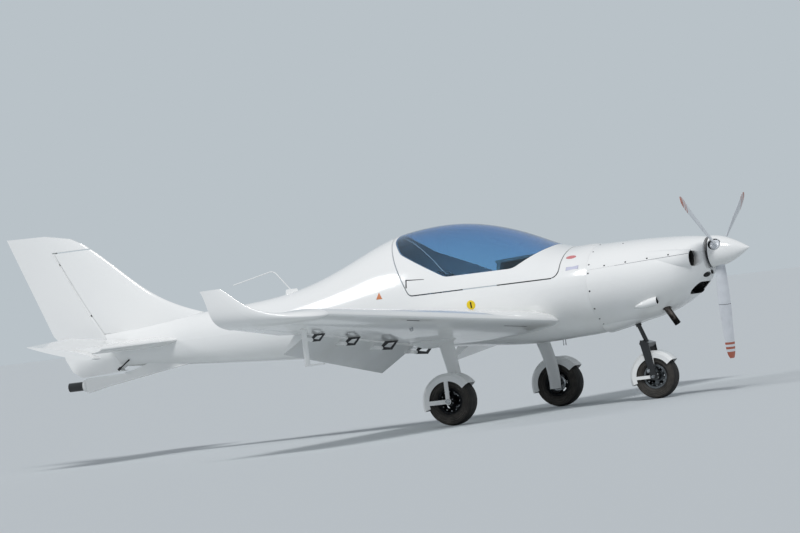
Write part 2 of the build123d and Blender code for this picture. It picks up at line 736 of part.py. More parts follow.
with BuildPart() as propeller_hub:
    with BuildSketch(Plane.YZ.offset(spinner_base_x - seat_gap)):
        with Locations((0, prop_z)):
            Circle(spinner_radius - 2)
    extrude(amount=-back_plate_depth)
    with BuildSketch(Plane.YZ.offset(spinner_base_x - seat_gap)):
        with Locations((0, prop_z)):
            Circle(hub_radius)
    extrude(amount=2 * (prop_x - spinner_base_x))
    with BuildSketch(Plane.YZ.offset(gearbox_front_x - 100)):
        with Locations((0, prop_z)):
            Circle(prop_shaft_radius)
    extrude(amount=spinner_base_x - gearbox_front_x + 100)
finish(propeller_hub.part, "propeller_hub")

with BuildPart() as blade:
    faces = []
    for distance, chord, pitch, thickness in blade_stations:
        turn = radians(pitch)
        with BuildSketch(Plane(origin=(0, 0, distance), x_dir=(sin(turn), -cos(turn), 0), z_dir=(0, 0, 1))) as section:
            with BuildLine():
                nose, tail = chord * 0.42, -chord * 0.58
                ThreePointArc((tail, blade_edge / 2), (chord * 0.05, 0.72 * thickness), (nose, blade_edge / 2))
                Line((nose, blade_edge / 2), (nose, -blade_edge / 2))
                ThreePointArc((nose, -blade_edge / 2), (chord * 0.05, -0.28 * thickness), (tail, -blade_edge / 2))
                Line((tail, -blade_edge / 2), (tail, blade_edge / 2))
            make_face()
        faces.append(section.sketch)
    loft(sections=faces)
with BuildPart() as propeller_blades:
    with Locations((prop_x, 0, prop_z)):
        for angle in blade_angles:
            add(blade.part, rotation=(-angle, 0, 0))
    with BuildSketch(Plane.YZ.offset(spinner_base_x - 1)):
        with Locations((0, prop_z)):
            Circle(hub_radius + seat_gap)
    extrude(amount=4 * hub_radius, mode=Mode.SUBTRACT)
finish(propeller_blades.part, "propeller_blades")

# Wings with their control surfaces
wings = {}
for label, side in (("right", -1), ("left", 1)):
    with BuildPart() as wing_form:
        faces = []
        for distance, x, z, chord in (wing_root, wing_tip):
            faces.append(profile(wing_plane(side * distance, x, z, incidence=wing_incidence), chord,
                                 profile_upper, profile_lower))
        loft(sections=faces, ruled=True)
    with BuildPart() as winglet:
        faces = [faces[-1]]
        for distance, rise, x, chord, tilt in winglet_stations:
            faces.append(profile(wing_plane(side * distance, x, wing_tip[2] + rise, tilt, wing_incidence), chord,
                                 profile_upper, profile_lower))
        loft(sections=faces)

    flap_line = []
    for distance in (flap_inner_y, flap_outer_y):
        along, radius = surface_nose(distance, flap_share, flap_nose_share)
        up = flap_camber_share * wing_station(distance)[2]
        scale = wing_station(distance)[2] / wing_station(flap_inner_y)[2]
        flap_line.append(wing_point(distance, side, along - flap_hinge_forward * scale, up - flap_hinge_drop * scale))
    aileron_line = []
    for distance in (flap_outer_y, aileron_outer_y):
        along, radius = surface_nose(distance, aileron_share, aileron_nose_share)
        aileron_line.append(wing_point(distance, side, along, flap_camber_share * wing_station(distance)[2]))

    aileron_planes = [hinge_plane(*aileron_line, (distance - flap_outer_y) / (aileron_outer_y - flap_outer_y))
                      for distance in aileron_hinge_y]

    with BuildPart() as wing:
        add(wing_form.part)
        add(winglet.part)
        add(outer_body, mode=Mode.SUBTRACT)
        add(round_nosed_bay(side, flap_inner_y, flap_outer_y + flap_end_gap / 2, flap_share, flap_nose_share, surface_gap),
            mode=Mode.SUBTRACT)
        add(round_nosed_bay(side, flap_outer_y - 1, aileron_outer_y, aileron_share, aileron_nose_share, surface_gap),
            mode=Mode.SUBTRACT)
        for plane in aileron_planes:
            add(hinge_arm(plane, hinge_arm_reach))
    finish(wing.part, f"wing_{label}")
    wings[label] = wing.part

    with BuildPart() as aileron:
        add(wing_form.part)
        add(round_nosed_bay(side, flap_outer_y + flap_end_gap / 2, aileron_outer_y - surface_gap, aileron_share,
                            aileron_nose_share, 0), mode=Mode.INTERSECT)
        for plane in aileron_planes:
            add(hinge_slot(plane, hinge_arm_reach), mode=Mode.SUBTRACT)
        for plane in aileron_planes:
            add(hinge_pin(plane))
    finish(aileron.part, f"aileron_{label}")

    with BuildPart() as flap_stowed:
        add(wing_form.part)
        add(round_nosed_bay(side, flap_inner_y + flap_end_gap, flap_outer_y - flap_end_gap / 2, flap_share,
                            flap_nose_share, 0), mode=Mode.INTERSECT)
    flap_axis = Axis(flap_line[0], (flap_line[1] - flap_line[0]) * side)
    flap_down = flap_stowed.part.rotate(flap_axis, -flap_angle)
    bracket_planes = [hinge_plane(*flap_line, (distance - flap_inner_y) / (flap_outer_y - flap_inner_y))
                      for distance in flap_bracket_y]
    with BuildPart() as flap:
        add(flap_down)
        for plane in bracket_planes:
            add(flap_lug(plane))
    finish(flap.part, f"flap_{label}")

    with BuildPart() as brackets:
        for plane in bracket_planes:
            size = wing_station(abs(plane.origin.Y))[2] / wing_station(flap_inner_y)[2]
            with BuildSketch(plane.offset(-flap_bracket_width / 2)):
                with BuildLine():
                    Polyline((0, flap_boss_radius), *((x * size, y * size) for x, y in flap_bracket_corners),
                             (0, -flap_boss_radius), close=True)
                make_face()
                with BuildLine():
                    Polyline(*((x * size, y * size) for x, y in flap_bracket_opening), close=True)
                make_face(mode=Mode.SUBTRACT)
                Circle(flap_boss_radius)
                Circle(flap_pin_radius + shaft_gap, mode=Mode.SUBTRACT)
            extrude(amount=flap_bracket_width)
        add(wing.part, mode=Mode.SUBTRACT)
    finish(brackets.part, f"flap_brackets_{label}")

# Fin, rudder, tailplane and elevator
with BuildPart() as fin_form:
    faces = []
    for z, nose_x, edge_x, half in fin_stations:
        chord = nose_x - edge_x
        faces.append(profile(Plane(origin=(nose_x, 0, z), x_dir=(-1, 0, 0), z_dir=(0, 0, 1)), chord,
                             half / chord, half / chord, fin_crest))
    loft(sections=faces)

with BuildPart() as fin:
    add(fin_form.part)
    with BuildSketch(Plane.XZ.offset(-slab_half_width)):
        with BuildLine():
            Polyline((-1200, 1040), (-1200, fin_top_z), (-3300, fin_top_z), (-3300, 1040), close=True)
        make_face()
    extrude(amount=2 * slab_half_width, mode=Mode.INTERSECT)
    add(rudder_bay.part, mode=Mode.SUBTRACT)
    add(outer_body, mode=Mode.SUBTRACT)
    for plane in rudder_planes[1:]:
        add(hinge_arm(plane, rudder_arm_reach))
finish(fin.part, "fin")

with BuildPart() as rudder:
    add(fin_form.part)
    with BuildSketch(Plane.XZ.offset(-slab_half_width)):
        with BuildLine():
            Polyline(*rudder_outline, close=True)
        make_face()
    extrude(amount=2 * slab_half_width, mode=Mode.INTERSECT)
    with BuildSketch(Plane.XZ.offset(-slab_half_width)):
        with BuildLine():
            Polyline((-3300, 600), (-2195, 600), rudder_hinge_low, rudder_hinge_high, (-2786, horn_base_z),
                     (-2300, horn_base_z), (-2300, 2000), (-3300, 2000), close=True)
        make_face()
    extrude(amount=2 * slab_half_width, mode=Mode.INTERSECT)
    add(rudder_nose(0))
    for plane in rudder_planes:
        add(hinge_slot(plane, rudder_arm_reach), mode=Mode.SUBTRACT)
    for plane in rudder_planes:
        add(hinge_pin(plane))
finish(rudder.part, "rudder")

with BuildPart() as tailplane_form:
    for side in (-1, 1):
        faces = []
        for distance, nose_x, chord in ((0, tailplane_root_nose_x, tailplane_root_chord),
                                        (tailplane_tip_y, tailplane_tip_nose_x, tailplane_tip_chord)):
            plane = Plane(origin=(nose_x, side * distance, tail_z), x_dir=(-1, 0, 0), z_dir=(0, 1, 0))
            faces.append(profile(plane, chord, tail_profile_half, tail_profile_half))
        loft(sections=faces, ruled=True)

elevator_hinge_planes = [Plane(origin=(elevator_hinge_x, side * distance, tail_z), x_dir=(1, 0, 0), z_dir=(0, 1, 0))
                         for side in (-1, 1) for distance in elevator_hinge_y]


def elevator_bay_section(distance, radius):
    plane = Plane(origin=(elevator_hinge_x, distance, tail_z), x_dir=(-1, 0, 0), z_dir=(0, 1, 0))
    rear = tailplane_root_chord
    with BuildSketch(plane) as bay:
        with BuildLine():
            Polyline((0, radius), (rear, radius), (rear, -radius), (0, -radius))
            ThreePointArc((0, -radius), (-radius, 0), (0, radius))
        make_face()
    return bay.sketch


def elevator_space(gap, root_y, horn_y):
    """What the elevator takes up: all behind its round nose, and the whole chord at the tips."""
    spread = elevator_root_aft_y - elevator_root_y
    front, rear = elevator_hinge_x + 2 * elevator_nose_root, elevator_hinge_x - tailplane_root_chord / 2
    with BuildPart() as space:
        for side in (-1, 1):
            loft(sections=[elevator_bay_section(0, elevator_nose_root + gap),
                           elevator_bay_section(side * (tailplane_tip_y + 10), elevator_nose_tip + gap)], ruled=True)
        with BuildSketch(Plane.XY.offset(tail_z - 200)):
            with BuildLine():
                Polyline((front, root_y), (elevator_hinge_x, root_y), (rear, root_y + spread),
                         (rear, -root_y - spread), (elevator_hinge_x, -root_y), (front, -root_y), close=True)
            make_face()
        extrude(amount=400, mode=Mode.SUBTRACT)
        with BuildSketch(Plane.XY.offset(tail_z - 200)):
            with Locations((elevator_hinge_x, horn_y + 100), (elevator_hinge_x, -horn_y - 100)):
                Rectangle(2 * tailplane_root_chord, 200)
        extrude(amount=400)
    return space.part


with BuildPart() as tailplane:
    add(tailplane_form.part)
    add(elevator_space(surface_gap, elevator_root_y - surface_gap, elevator_horn_y - surface_gap), mode=Mode.SUBTRACT)
    add(outer_body, mode=Mode.SUBTRACT)
    with BuildSketch(Plane.XY.offset(tail_z - 200)):
        with Locations((-2480, 0)):
            Rectangle(560, 2 * elevator_root_y + 240)
    extrude(amount=400, mode=Mode.SUBTRACT)
    with BuildSketch(Plane.XZ.offset(-2 * elevator_root_y)):
        with Locations((elevator_hinge_x, tail_z)):
            Circle(torque_tube_radius + surface_gap)
    extrude(amount=4 * elevator_root_y, mode=Mode.SUBTRACT)
    for plane in elevator_hinge_planes:
        add(hinge_arm(plane, hinge_arm_reach - 10))
finish(tailplane.part, "tailplane")

with BuildPart() as elevator_level:
    add(tailplane_form.part)
    add(elevator_space(0, elevator_root_y, elevator_horn_y), mode=Mode.INTERSECT)
    for plane in elevator_hinge_planes:
        add(hinge_slot(plane, hinge_arm_reach), mode=Mode.SUBTRACT)
    for plane in elevator_hinge_planes:
        add(hinge_pin(plane))
    with BuildSketch(Plane.XZ.offset(-elevator_root_y - 12)):
        with Locations((elevator_hinge_x, tail_z)):
            Circle(torque_tube_radius)
    extrude(amount=2 * elevator_root_y + 24)
elevator_axis = Axis((elevator_hinge_x, 0, tail_z), (0, 1, 0))
with BuildPart() as elevator:
    add(elevator_level.part.rotate(elevator_axis, elevator_angle))
finish(elevator.part, "elevator")


# Wheels
def tyre_and_rim(centre, radius, width, rim_radius, axle_radius, name):
    """A tyre and its spoked rim, made round the axle line."""
    x, y, z = centre
    half = width / 2
    axis = Axis((x, y, z), (0, 1, 0))
    with BuildPart() as tyre:
        with BuildSketch(Plane.YZ.offset(x)):
            with BuildLine():
                bead, shoulder = 0.36 * width, 0.44 * width
                middle = blend(rim_radius, radius, 0.45)
                Line((y - bead, z + rim_radius), (y + bead, z + rim_radius))
                ThreePointArc((y + bead, z + rim_radius), (y + half, z + middle), (y + shoulder, z + radius - 0.17 * width))
                ThreePointArc((y + shoulder, z + radius - 0.17 * width), (y, z + radius),
                              (y - shoulder, z + radius - 0.17 * width))
                ThreePointArc((y - shoulder, z + radius - 0.17 * width), (y - half, z + middle), (y - bead, z + rim_radius))
            make_face()
        revolve(axis=axis)
    finish(tyre.part, f"{name}_tyre")
    with BuildPart() as rim:
        with BuildSketch(Plane.YZ.offset(x)):
            with BuildLine():
                bead = 0.36 * width
                Polyline((y - bead, z + rim_radius), (y + bead, z + rim_radius), (y + bead, z + rim_radius - 14),
                         (y + bead - 12, z + rim_radius - 20), (y - bead + 12, z + rim_radius - 20),
                         (y - bead, z + rim_radius - 14), close=True)
            make_face()
        revolve(axis=axis)
        with BuildSketch(Plane.XZ.offset(-y - 0.30 * width)):
            with Locations((x, z)):
                Circle(rim_radius - 16)
                Circle(axle_radius + shaft_gap, mode=Mode.SUBTRACT)
                with PolarLocations(0.6 * rim_radius, spoke_count):
                    Circle(0.19 * rim_radius, mode=Mode.SUBTRACT)
        extrude(amount=0.10 * width)
        with BuildSketch(Plane.XZ.offset(-y - 0.34 * width)):
            with Locations((x, z)):
                Circle(0.33 * rim_radius)
                Circle(axle_radius + shaft_gap, mode=Mode.SUBTRACT)
        extrude(amount=0.68 * width)
    finish(rim.part, f"{name}_rim")


def guard(centre, radius, half_width, arm_sides, arm_width, bore_radius):
    """An open mudguard over the top and rear of a tyre, with arms that meet at the axle."""
    x, y, z = centre
    start = radians(guard_start)
    radial = Plane(origin=centre, x_dir=(0, 1, 0), z_dir=(cos(start), 0, -sin(start)))
    inner_half = half_width - guard_wall
    with BuildPart() as shell:
        with BuildSketch(radial):
            with BuildLine():
                Polyline((-half_width, guard_depth * radius), (-half_width, radius - guard_round),
                         (-half_width + guard_round, radius), (half_width - guard_round, radius),
                         (half_width, radius - guard_round), (half_width, guard_depth * radius),
                         (inner_half, guard_depth * radius), (inner_half, radius - guard_round),
                         (inner_half - guard_round, radius - guard_wall), (guard_round - inner_half, radius - guard_wall),
                         (-inner_half, radius - guard_round), (-inner_half, guard_depth * radius), close=True)
            make_face()
        revolve(axis=Axis(centre, (0, 1, 0)), revolution_arc=guard_sweep)
        for side in arm_sides:
            outside = y + side * half_width
            with BuildSketch(Plane.XZ.offset(-max(outside, outside - side * guard_wall))):
                with Locations((x, z)):
                    Circle(0.75 * arm_width)
                    with Locations((0, 0.45 * radius)):
                        Rectangle(arm_width, 0.9 * radius)
                    with Locations((-0.45 * radius, 0)):
                        Rectangle(0.9 * radius, arm_width)
                    Circle(bore_radius, mode=Mode.SUBTRACT)
            extrude(amount=guard_wall)
    return shell.part


for label, side in (("right", -1), ("left", 1)):
    centre = (main_axle_x, side * main_wheel_y, main_axle_z)
    tyre_and_rim(centre, main_tyre_radius, main_tyre_width, main_rim_radius, main_axle_radius, f"main_{label}")
    half_width = main_tyre_width / 2 + guard_side_gap + guard_wall
    finish(guard(centre, main_tyre_radius + guard_radial_gap + guard_wall, half_width, (side,), main_arm_width,
                 main_axle_radius + shaft_gap), f"main_{label}_guard")
    with BuildPart() as leg:
        for distance, x, z, chord, thickness in leg_stations:
            with BuildSketch(Plane.XY.offset(z)):
                with Locations((x, side * distance)):
                    Ellipse(chord / 2, thickness / 2)
        loft()
        with BuildSketch(Plane.XZ.offset(-side * leg_stations[-1][0])):
            with Locations((main_axle_x, main_axle_z)):
                Circle(main_boss_radius)
        extrude(amount=-side * leg_boss_length)
        add(wings[label], mode=Mode.SUBTRACT)
    finish(leg.part, f"main_{label}_leg")
    with BuildPart() as axle:
        start = side * (leg_stations[-1][0] + leg_boss_length)
        with BuildSketch(Plane.XZ.offset(-start)):
            with Locations((main_axle_x, main_axle_z)):
                Circle(main_axle_radius)
        extrude(amount=-side * (main_wheel_y + half_width + 8 - abs(start)))
        with BuildSketch(Plane.XZ.offset(-side * (main_wheel_y + half_width))):
            with Locations((main_axle_x, main_axle_z)):
                Circle(1.6 * main_axle_radius)
        extrude(amount=-side * 8)
        with BuildSketch(Plane.XZ.offset(-start)):
            with Locations((main_axle_x, main_axle_z)):
                Circle(2 * main_axle_radius)
        extrude(amount=-side * 8)
    finish(axle.part, f"main_{label}_axle")
    with BuildPart() as fairing:
        for share, swell in leg_fairing_stations:
            x = blend(leg_fairing_front_x, leg_fairing_rear_x, share)
            with BuildSketch(Plane.YZ.offset(x)):
                with Locations((side * leg_fairing_y, leg_fairing_z)):
                    Ellipse(swell * leg_fairing_half_width, swell * leg_fairing_half_height)
        loft()
        add(wings[label], mode=Mode.SUBTRACT)
        add(leg.part, mode=Mode.SUBTRACT)
    lowest = fairing.part.solids().sort_by(Axis.Z)[0]
    with BuildPart() as fairing_below:
        add(lowest)
    finish(fairing_below.part, f"main_{label}_leg_fairing")

# Nose gear
centre = (nose_axle_x, 0, nose_axle_z)
tyre_and_rim(centre, nose_tyre_radius, nose_tyre_width, nose_rim_radius, nose_axle_radius, "nose")
nose_guard_half = nose_tyre_width / 2 + guard_side_gap
finish(guard(centre, nose_tyre_radius + guard_radial_gap + guard_wall, nose_guard_half, (-1, 1), nose_arm_width,
             nose_axle_radius + shaft_gap), "nose_guard")
fork_inside = nose_guard_half + seat_gap
fork_outside = fork_inside + fork_plate
stem_length = (steer_z - fork_crown_z) / cos(rake)
with BuildPart() as nose_strut:
    with BuildSketch(steer_plane.offset(-sleeve_reach)):
        Circle(strut_sleeve_radius)
    extrude(amount=sleeve_reach + sleeve_below)
    with BuildSketch(Plane.XZ.offset(-strut_sleeve_radius)):
        with Locations(((firewall_x + steer_x - sleeve_reach / 2 * sin(rake)) / 2, steer_z + 0.55 * sleeve_reach)):
            Rectangle(steer_x - sleeve_reach / 2 * sin(rake) - firewall_x, 70)
    extrude(amount=2 * strut_sleeve_radius)
    with BuildSketch(steer_plane.offset(-sleeve_reach)):
        Circle(strut_tube_radius + shaft_gap)
    extrude(amount=2 * sleeve_reach, mode=Mode.SUBTRACT)
finish(nose_strut.part, "nose_strut")

with BuildPart() as nose_fork:
    with BuildSketch(steer_plane.offset(-sleeve_reach + 10)):
        Circle(strut_tube_radius)
    extrude(amount=stem_length + sleeve_reach - 10)
    crown = steer_plane.origin + steer_down * stem_length
    with BuildSketch(Plane.XZ.offset(-fork_outside)):
        with Locations((crown.X, crown.Z)):
            Rectangle(76, 34, rotation=-steer_rake)
    extrude(amount=2 * fork_outside)
    for side in (-1, 1):
        with BuildSketch(Plane.XZ.offset(fork_outside if side < 0 else -fork_inside)):
            with BuildLine():
                Polyline((crown.X - 36, crown.Z), (crown.X + 36, crown.Z), (nose_axle_x + 26, nose_axle_z),
                         (nose_axle_x - 26, nose_axle_z), close=True)
            make_face()
            with Locations((nose_axle_x, nose_axle_z)):
                Circle(28)
                Circle(nose_axle_radius + shaft_gap, mode=Mode.SUBTRACT)
        extrude(amount=-fork_plate)
finish(nose_fork.part, "nose_fork")

with BuildPart() as nose_axle:
    for radius, end in ((nose_axle_radius, fork_outside), (tow_pin_radius, fork_outside + tow_pin_length)):
        with BuildSketch(Plane.XZ.offset(-end)):
            with Locations((nose_axle_x, nose_axle_z)):
                Circle(radius)
        extrude(amount=2 * end)
finish(nose_axle.part, "nose_axle")

# Tie-down eyes, tow release, aerial, pitot and drain tubes
for label, side in (("right", -1), ("left", 1)):
    x, z, chord = wing_station(tie_down_y)
    eye_z = z - profile_lower * chord - 20
    with BuildPart() as eye:
        with BuildSketch(Plane.XZ.offset(-side * tie_down_y - tie_down_width / 2)):
            with Locations((tie_down_x, eye_z)):
                Circle(2.4 * tie_down_radius)
                with Locations((0, 25)):
                    Rectangle(4.8 * tie_down_radius, 50)
                Circle(tie_down_radius, mode=Mode.SUBTRACT)
        extrude(amount=tie_down_width)
        add(wings[label], mode=Mode.SUBTRACT)
    finish(eye.part, f"tie_down_{label}")

with BuildPart() as tow_release:
    with BuildSketch(Plane.YZ.offset(tow_front_x)):
        with Locations((0, tow_z)):
            Circle(tow_radius)
    extrude(amount=tow_rear_x - tow_front_x)
    with BuildSketch(Plane.YZ.offset(tow_rear_x)):
        with Locations((0, tow_z)):
            Circle(tow_bore)
    extrude(amount=0.8 * (tow_front_x - tow_rear_x), mode=Mode.SUBTRACT)
finish(tow_release.part, "tow_release")

with BuildPart() as aerial:
    with BuildLine(Plane.XZ) as whip:
        FilletPolyline(*aerial_path, radius=60)
    with BuildSketch(Plane(origin=whip.line @ 0, z_dir=whip.line % 0)):
        Circle(aerial_radius)
    sweep(path=whip.line)
    with BuildSketch(Plane.XY.offset(1150)):
        with Locations((aerial_path[0][0] - 20, 0)):
            Ellipse(60, 12)
    extrude(amount=62, taper=6)
    add(outer_body, mode=Mode.SUBTRACT)
finish(aerial.part, "aerial")

with BuildPart() as pitot:
    with BuildSketch(Plane.XY.offset(pitot_low_z)):
        with Locations((pitot_x, -pitot_y)):
            Ellipse(pitot_chord / 2, pitot_width / 2)
    extrude(amount=wing_station(pitot_y)[1] - pitot_low_z)
    with BuildSketch(Plane.YZ.offset(pitot_x - pitot_chord / 2)):
        with Locations((-pitot_y, pitot_low_z)):
            Circle(pitot_radius)
    extrude(amount=pitot_chord + pitot_reach)
    add(wings["right"], mode=Mode.SUBTRACT)
finish(pitot.part, "pitot")

with BuildPart() as drain_tubes:
    with Locations(*drain_places):
        Cylinder(drain_radius, drain_length, align=(Align.CENTER, Align.CENTER, Align.MIN))
    add(outer_body, mode=Mode.SUBTRACT)
finish(drain_tubes.part, "drain_tubes")
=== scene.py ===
import math

import bmesh
import bpy
from mathutils import Matrix, Vector
from mathutils.bvhtree import BVHTree


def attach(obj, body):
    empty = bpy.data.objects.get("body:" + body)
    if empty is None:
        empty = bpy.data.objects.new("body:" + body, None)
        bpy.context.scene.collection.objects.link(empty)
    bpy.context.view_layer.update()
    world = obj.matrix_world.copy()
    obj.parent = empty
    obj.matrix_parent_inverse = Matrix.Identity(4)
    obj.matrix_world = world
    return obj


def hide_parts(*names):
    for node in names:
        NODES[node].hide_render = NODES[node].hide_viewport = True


bl_info = {
    "name": "Ultralight aircraft looks",
    "version": (1, 0, 0),
    "blender": (4, 5, 0),
    "location": "View3D > Sidebar > Ultralight",
    "description": "Finishes, fittings, cushions and studio for a low-wing two-seat ultralight aircraft",
    "category": "Object",
}

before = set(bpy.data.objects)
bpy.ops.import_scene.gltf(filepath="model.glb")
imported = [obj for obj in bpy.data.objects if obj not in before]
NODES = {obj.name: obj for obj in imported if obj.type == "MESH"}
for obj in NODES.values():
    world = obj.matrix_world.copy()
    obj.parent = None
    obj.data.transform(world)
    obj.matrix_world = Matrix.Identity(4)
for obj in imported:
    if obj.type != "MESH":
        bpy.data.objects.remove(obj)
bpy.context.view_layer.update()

# Places that the CAD model gives, in metres
PROP_X, PROP_Z = 2.950, 1.086
BLADE_ANGLES = (180, 60, 300)
FIREWALL_X, COWL_FRONT_X = 1.990, 2.872
SPLIT_REAR_Z, SPLIT_FRONT_Z = 1.063, 1.100
SEAT_Y = 0.212
SIDES = (("right", -1), ("left", 1))
# name, axle x, y and z, tyre radius and width, rim radius, body
WHEELS = (
    ("main_right", 1.040, -1.140, 0.190, 0.190, 0.150, 0.100, "main_wheel_right"),
    ("main_left", 1.040, 1.140, 0.190, 0.190, 0.150, 0.100, "main_wheel_left"),
    ("nose", 2.310, 0.0, 0.175, 0.175, 0.120, 0.095, "nose_wheel"),
)
# Where a straight look back at the aircraft starts, and the height that the body's joints run round
AHEAD_X = 3.0
HOOP_Z = 0.93
# Inner and outer radius of each coloured band of a blade, and the radius of the joint in its lacquer
BLADE_BANDS = ((0.716, 0.734), (0.752, 0.770), (0.790, 0.900))
BLADE_JOINT = 0.420
# How far a laid strip stands off the skin, and how far it reaches into it
STRIP_LIFT, STRIP_SINK = 0.0006, 0.002
# How much of a CAD cushion is left before it swells, along x, y and z, and the size of its mesh
CUSHION_SHARES = (0.93, 0.95, 0.94)
CUSHION_MESH, CUSHION_STEPS = 0.009, 20


def linear(colour):
    """A hex sRGB colour as linear red, green, blue and alpha."""
    parts = [int(colour[i:i + 2], 16) / 255 for i in (1, 3, 5)]
    return tuple(v / 12.92 if v <= 0.04045 else ((v + 0.055) / 1.055) ** 2.4 for v in parts) + (1.0,)


def add_node(tree, kind, inputs=None, **settings):
    """Adds a node with its settings. An input gets a value, or a link from another node's output."""
    made = tree.nodes.new(kind)
    for key, value in settings.items():
        setattr(made, key, value)
    for key, value in (inputs or {}).items():
        if isinstance(value, bpy.types.NodeSocket):
            tree.links.new(value, made.inputs[key])
        else:
            made.inputs[key].default_value = value
    return made


class Shade:
    """A material in the making: its shader, with its own values set, and the nodes that feed it."""

    def __init__(self, name, colour, roughness, **sockets):
        self.material = bpy.data.materials.new(name)
        self.material.use_nodes = True
        self.tree = self.material.node_tree
        self.shader = self.tree.nodes["Principled BSDF"]
        self.colour = colour
        for key, value in {"Base Color": linear(colour), "Roughness": roughness, **sockets}.items():
            self.shader.inputs[key.replace("_", " ")].default_value = value
        self.place = self.node("ShaderNodeTexCoord").outputs["Object"]

    def node(self, kind, inputs=None, **settings):
        return add_node(self.tree, kind, inputs, **settings)

    def feed(self, socket, value):
        """Links a value to the shader and gives the material."""
        self.tree.links.new(value, self.shader.inputs[socket])
        return self.material

    def noise(self, size_mm, detail):
        """Noise whose features are about size_mm across."""
        return self.node("ShaderNodeTexNoise", {"Vector": self.place, "Scale": 1000 / size_mm,
                                                "Detail": detail}).outputs["Fac"]

    def spread(self, value, low, high, to_low=0.0, to_high=1.0):
        return self.node("ShaderNodeMapRange", {"Value": value, "From Min": low, "From Max": high,
                                                "To Min": to_low, "To Max": to_high}).outputs["Result"]

    def patches(self, size_mm, detail, low, high, to_low=0.0, to_high=1.0):
        """Noise with the part of its range between low and high spread over another."""
        return self.spread(self.noise(size_mm, detail), low, high, to_low, to_high)

    def mix(self, amount, first, second):
        """first where amount is 0 and second where it is 1; each is a hex colour or another node's output."""
        made = self.node("ShaderNodeMix", {"Factor": amount}, data_type="RGBA")
        for key, value in (("A", first), ("B", second)):
            socket = next(s for s in made.inputs if s.name == key and s.type == "RGBA")
            if isinstance(value, str):
                socket.default_value = linear(value)
            else:
                self.tree.links.new(value, socket)
        return next(s for s in made.outputs if s.type == "RGBA")

    def maths(self, what, first, second=0.0):
        return self.node("ShaderNodeMath", {0: first, 1: second}, operation=what).outputs[0]

    def part(self, vector, axis):
        return self.node("ShaderNodeSeparateXYZ", {0: vector}).outputs[axis]

    def facing(self, axis):
        """How far the surface faces along an axis."""
        return self.part(self.node("ShaderNodeNewGeometry").outputs["Normal"], axis)

    def bump(self, height, depth_mm, strength=1.0):
        self.feed("Normal", self.node("ShaderNodeBump", {"Height": height, "Distance": depth_mm / 1000,
                                                         "Strength": strength}).outputs["Normal"])

    def vary(self, second, size_mm, grain_mm, depth_mm):
        """Lets the colour drift to a second one in patches, with a fine grain."""
        self.bump(self.noise(grain_mm, 4.0), depth_mm)
        return self.feed("Base Color", self.mix(self.patches(size_mm, 3.0, 0.35, 0.7), self.colour, second))


def white_gelcoat(name, colour, greying_below):
    """White gelcoat polished from a mould: deep gloss, a faint orange peel, and greyer, rougher patches on
    the surfaces that face down.
    """
    shade = Shade(name, colour, 0.16, Coat_Weight=0.5, Coat_Roughness=0.04, IOR=1.5)
    # surfaces that face down turn greyer and rougher in patches
    below = shade.spread(shade.facing("Z"), -0.25, -1.0)
    tint_patches = shade.maths("MULTIPLY", shade.maths("MULTIPLY", below, shade.patches(420, 4.0, 0.3, 0.75)), greying_below)
    clean = shade.mix(shade.patches(900, 2.0, 0.3, 0.7, 0.0, 0.5), colour, "#eceeee")
    shade.feed("Roughness", shade.spread(tint_patches, 0.0, 1.0, 0.16, 0.5))
    shade.bump(shade.noise(9, 1.0), 0.02, 0.25)
    return shade.feed("Base Color", shade.mix(tint_patches, clean, "#b9b9a8"))


def blade_lacquer(name, colour, stripe, seam):
    """Grey lacquer over carbon blades: coloured bands near the tip and a fine joint line halfway out."""
    shade = Shade(name, colour, 0.3, Coat_Weight=0.3, Coat_Roughness=0.08)
    centred = shade.node("ShaderNodeMapping", {"Vector": shade.place, "Location": (0, 0, -PROP_Z)}).outputs[0]
    squares = [shade.maths("POWER", shade.part(centred, axis), 2.0) for axis in ("Y", "Z")]
    radius = shade.maths("SQRT", shade.maths("ADD", *squares))
    bands = 0.0
    for low, high in BLADE_BANDS:
        limits = shade.maths("GREATER_THAN", radius, low), shade.maths("LESS_THAN", radius, high)
        bands = shade.maths("MAXIMUM", shade.maths("MULTIPLY", *limits), bands)
    off_joint = shade.maths("ABSOLUTE", shade.maths("SUBTRACT", radius, BLADE_JOINT))
    joint = shade.maths("LESS_THAN", off_joint, 0.002)
    plain = shade.mix(shade.patches(60, 4.0, 0.4, 0.8, 0.0, 0.35), colour, "#aab0b6")
    return shade.feed("Base Color", shade.mix(joint, shade.mix(bands, plain, stripe), seam))


def tinted_acrylic(name, near, deep):
    """Blown acrylic tinted blue: clear when looked through squarely, deep blue where it turns away."""
    shade = Shade(name, near, 0.015, Transmission_Weight=1.0, IOR=1.49)
    turned = shade.node("ShaderNodeLayerWeight", {"Blend": 0.3}).outputs["Facing"]
    return shade.feed("Base Color", shade.mix(turned, near, deep))


def worn_rubber(name, colour, dust):
    """Moulded tyre rubber: nearly black on the tread, with dry dust that clings to the sidewalls."""
    shade = Shade(name, colour, 0.72, IOR=1.52)
    sidewall = shade.spread(shade.maths("ABSOLUTE", shade.facing("Y")), 0.55, 0.95, 0.15, 1.0)
    tint_patches = shade.maths("MULTIPLY", sidewall, shade.patches(60, 5.0, 0.3, 0.7, 0.25, 0.8))
    shade.bump(shade.noise(2.5, 3.0), 0.2)
    return shade.feed("Base Color", shade.mix(tint_patches, colour, dust))


def cast_metal(name, colour, roughness, second):
    """Cast and turned metal: uneven shine and small stains."""
    shade = Shade(name, colour, roughness, Metallic=1.0)
    shade.feed("Roughness", shade.patches(50, 4.0, 0.3, 0.7, roughness - 0.08, roughness + 0.14))
    return shade.vary(second, 25, 4, 0.05)


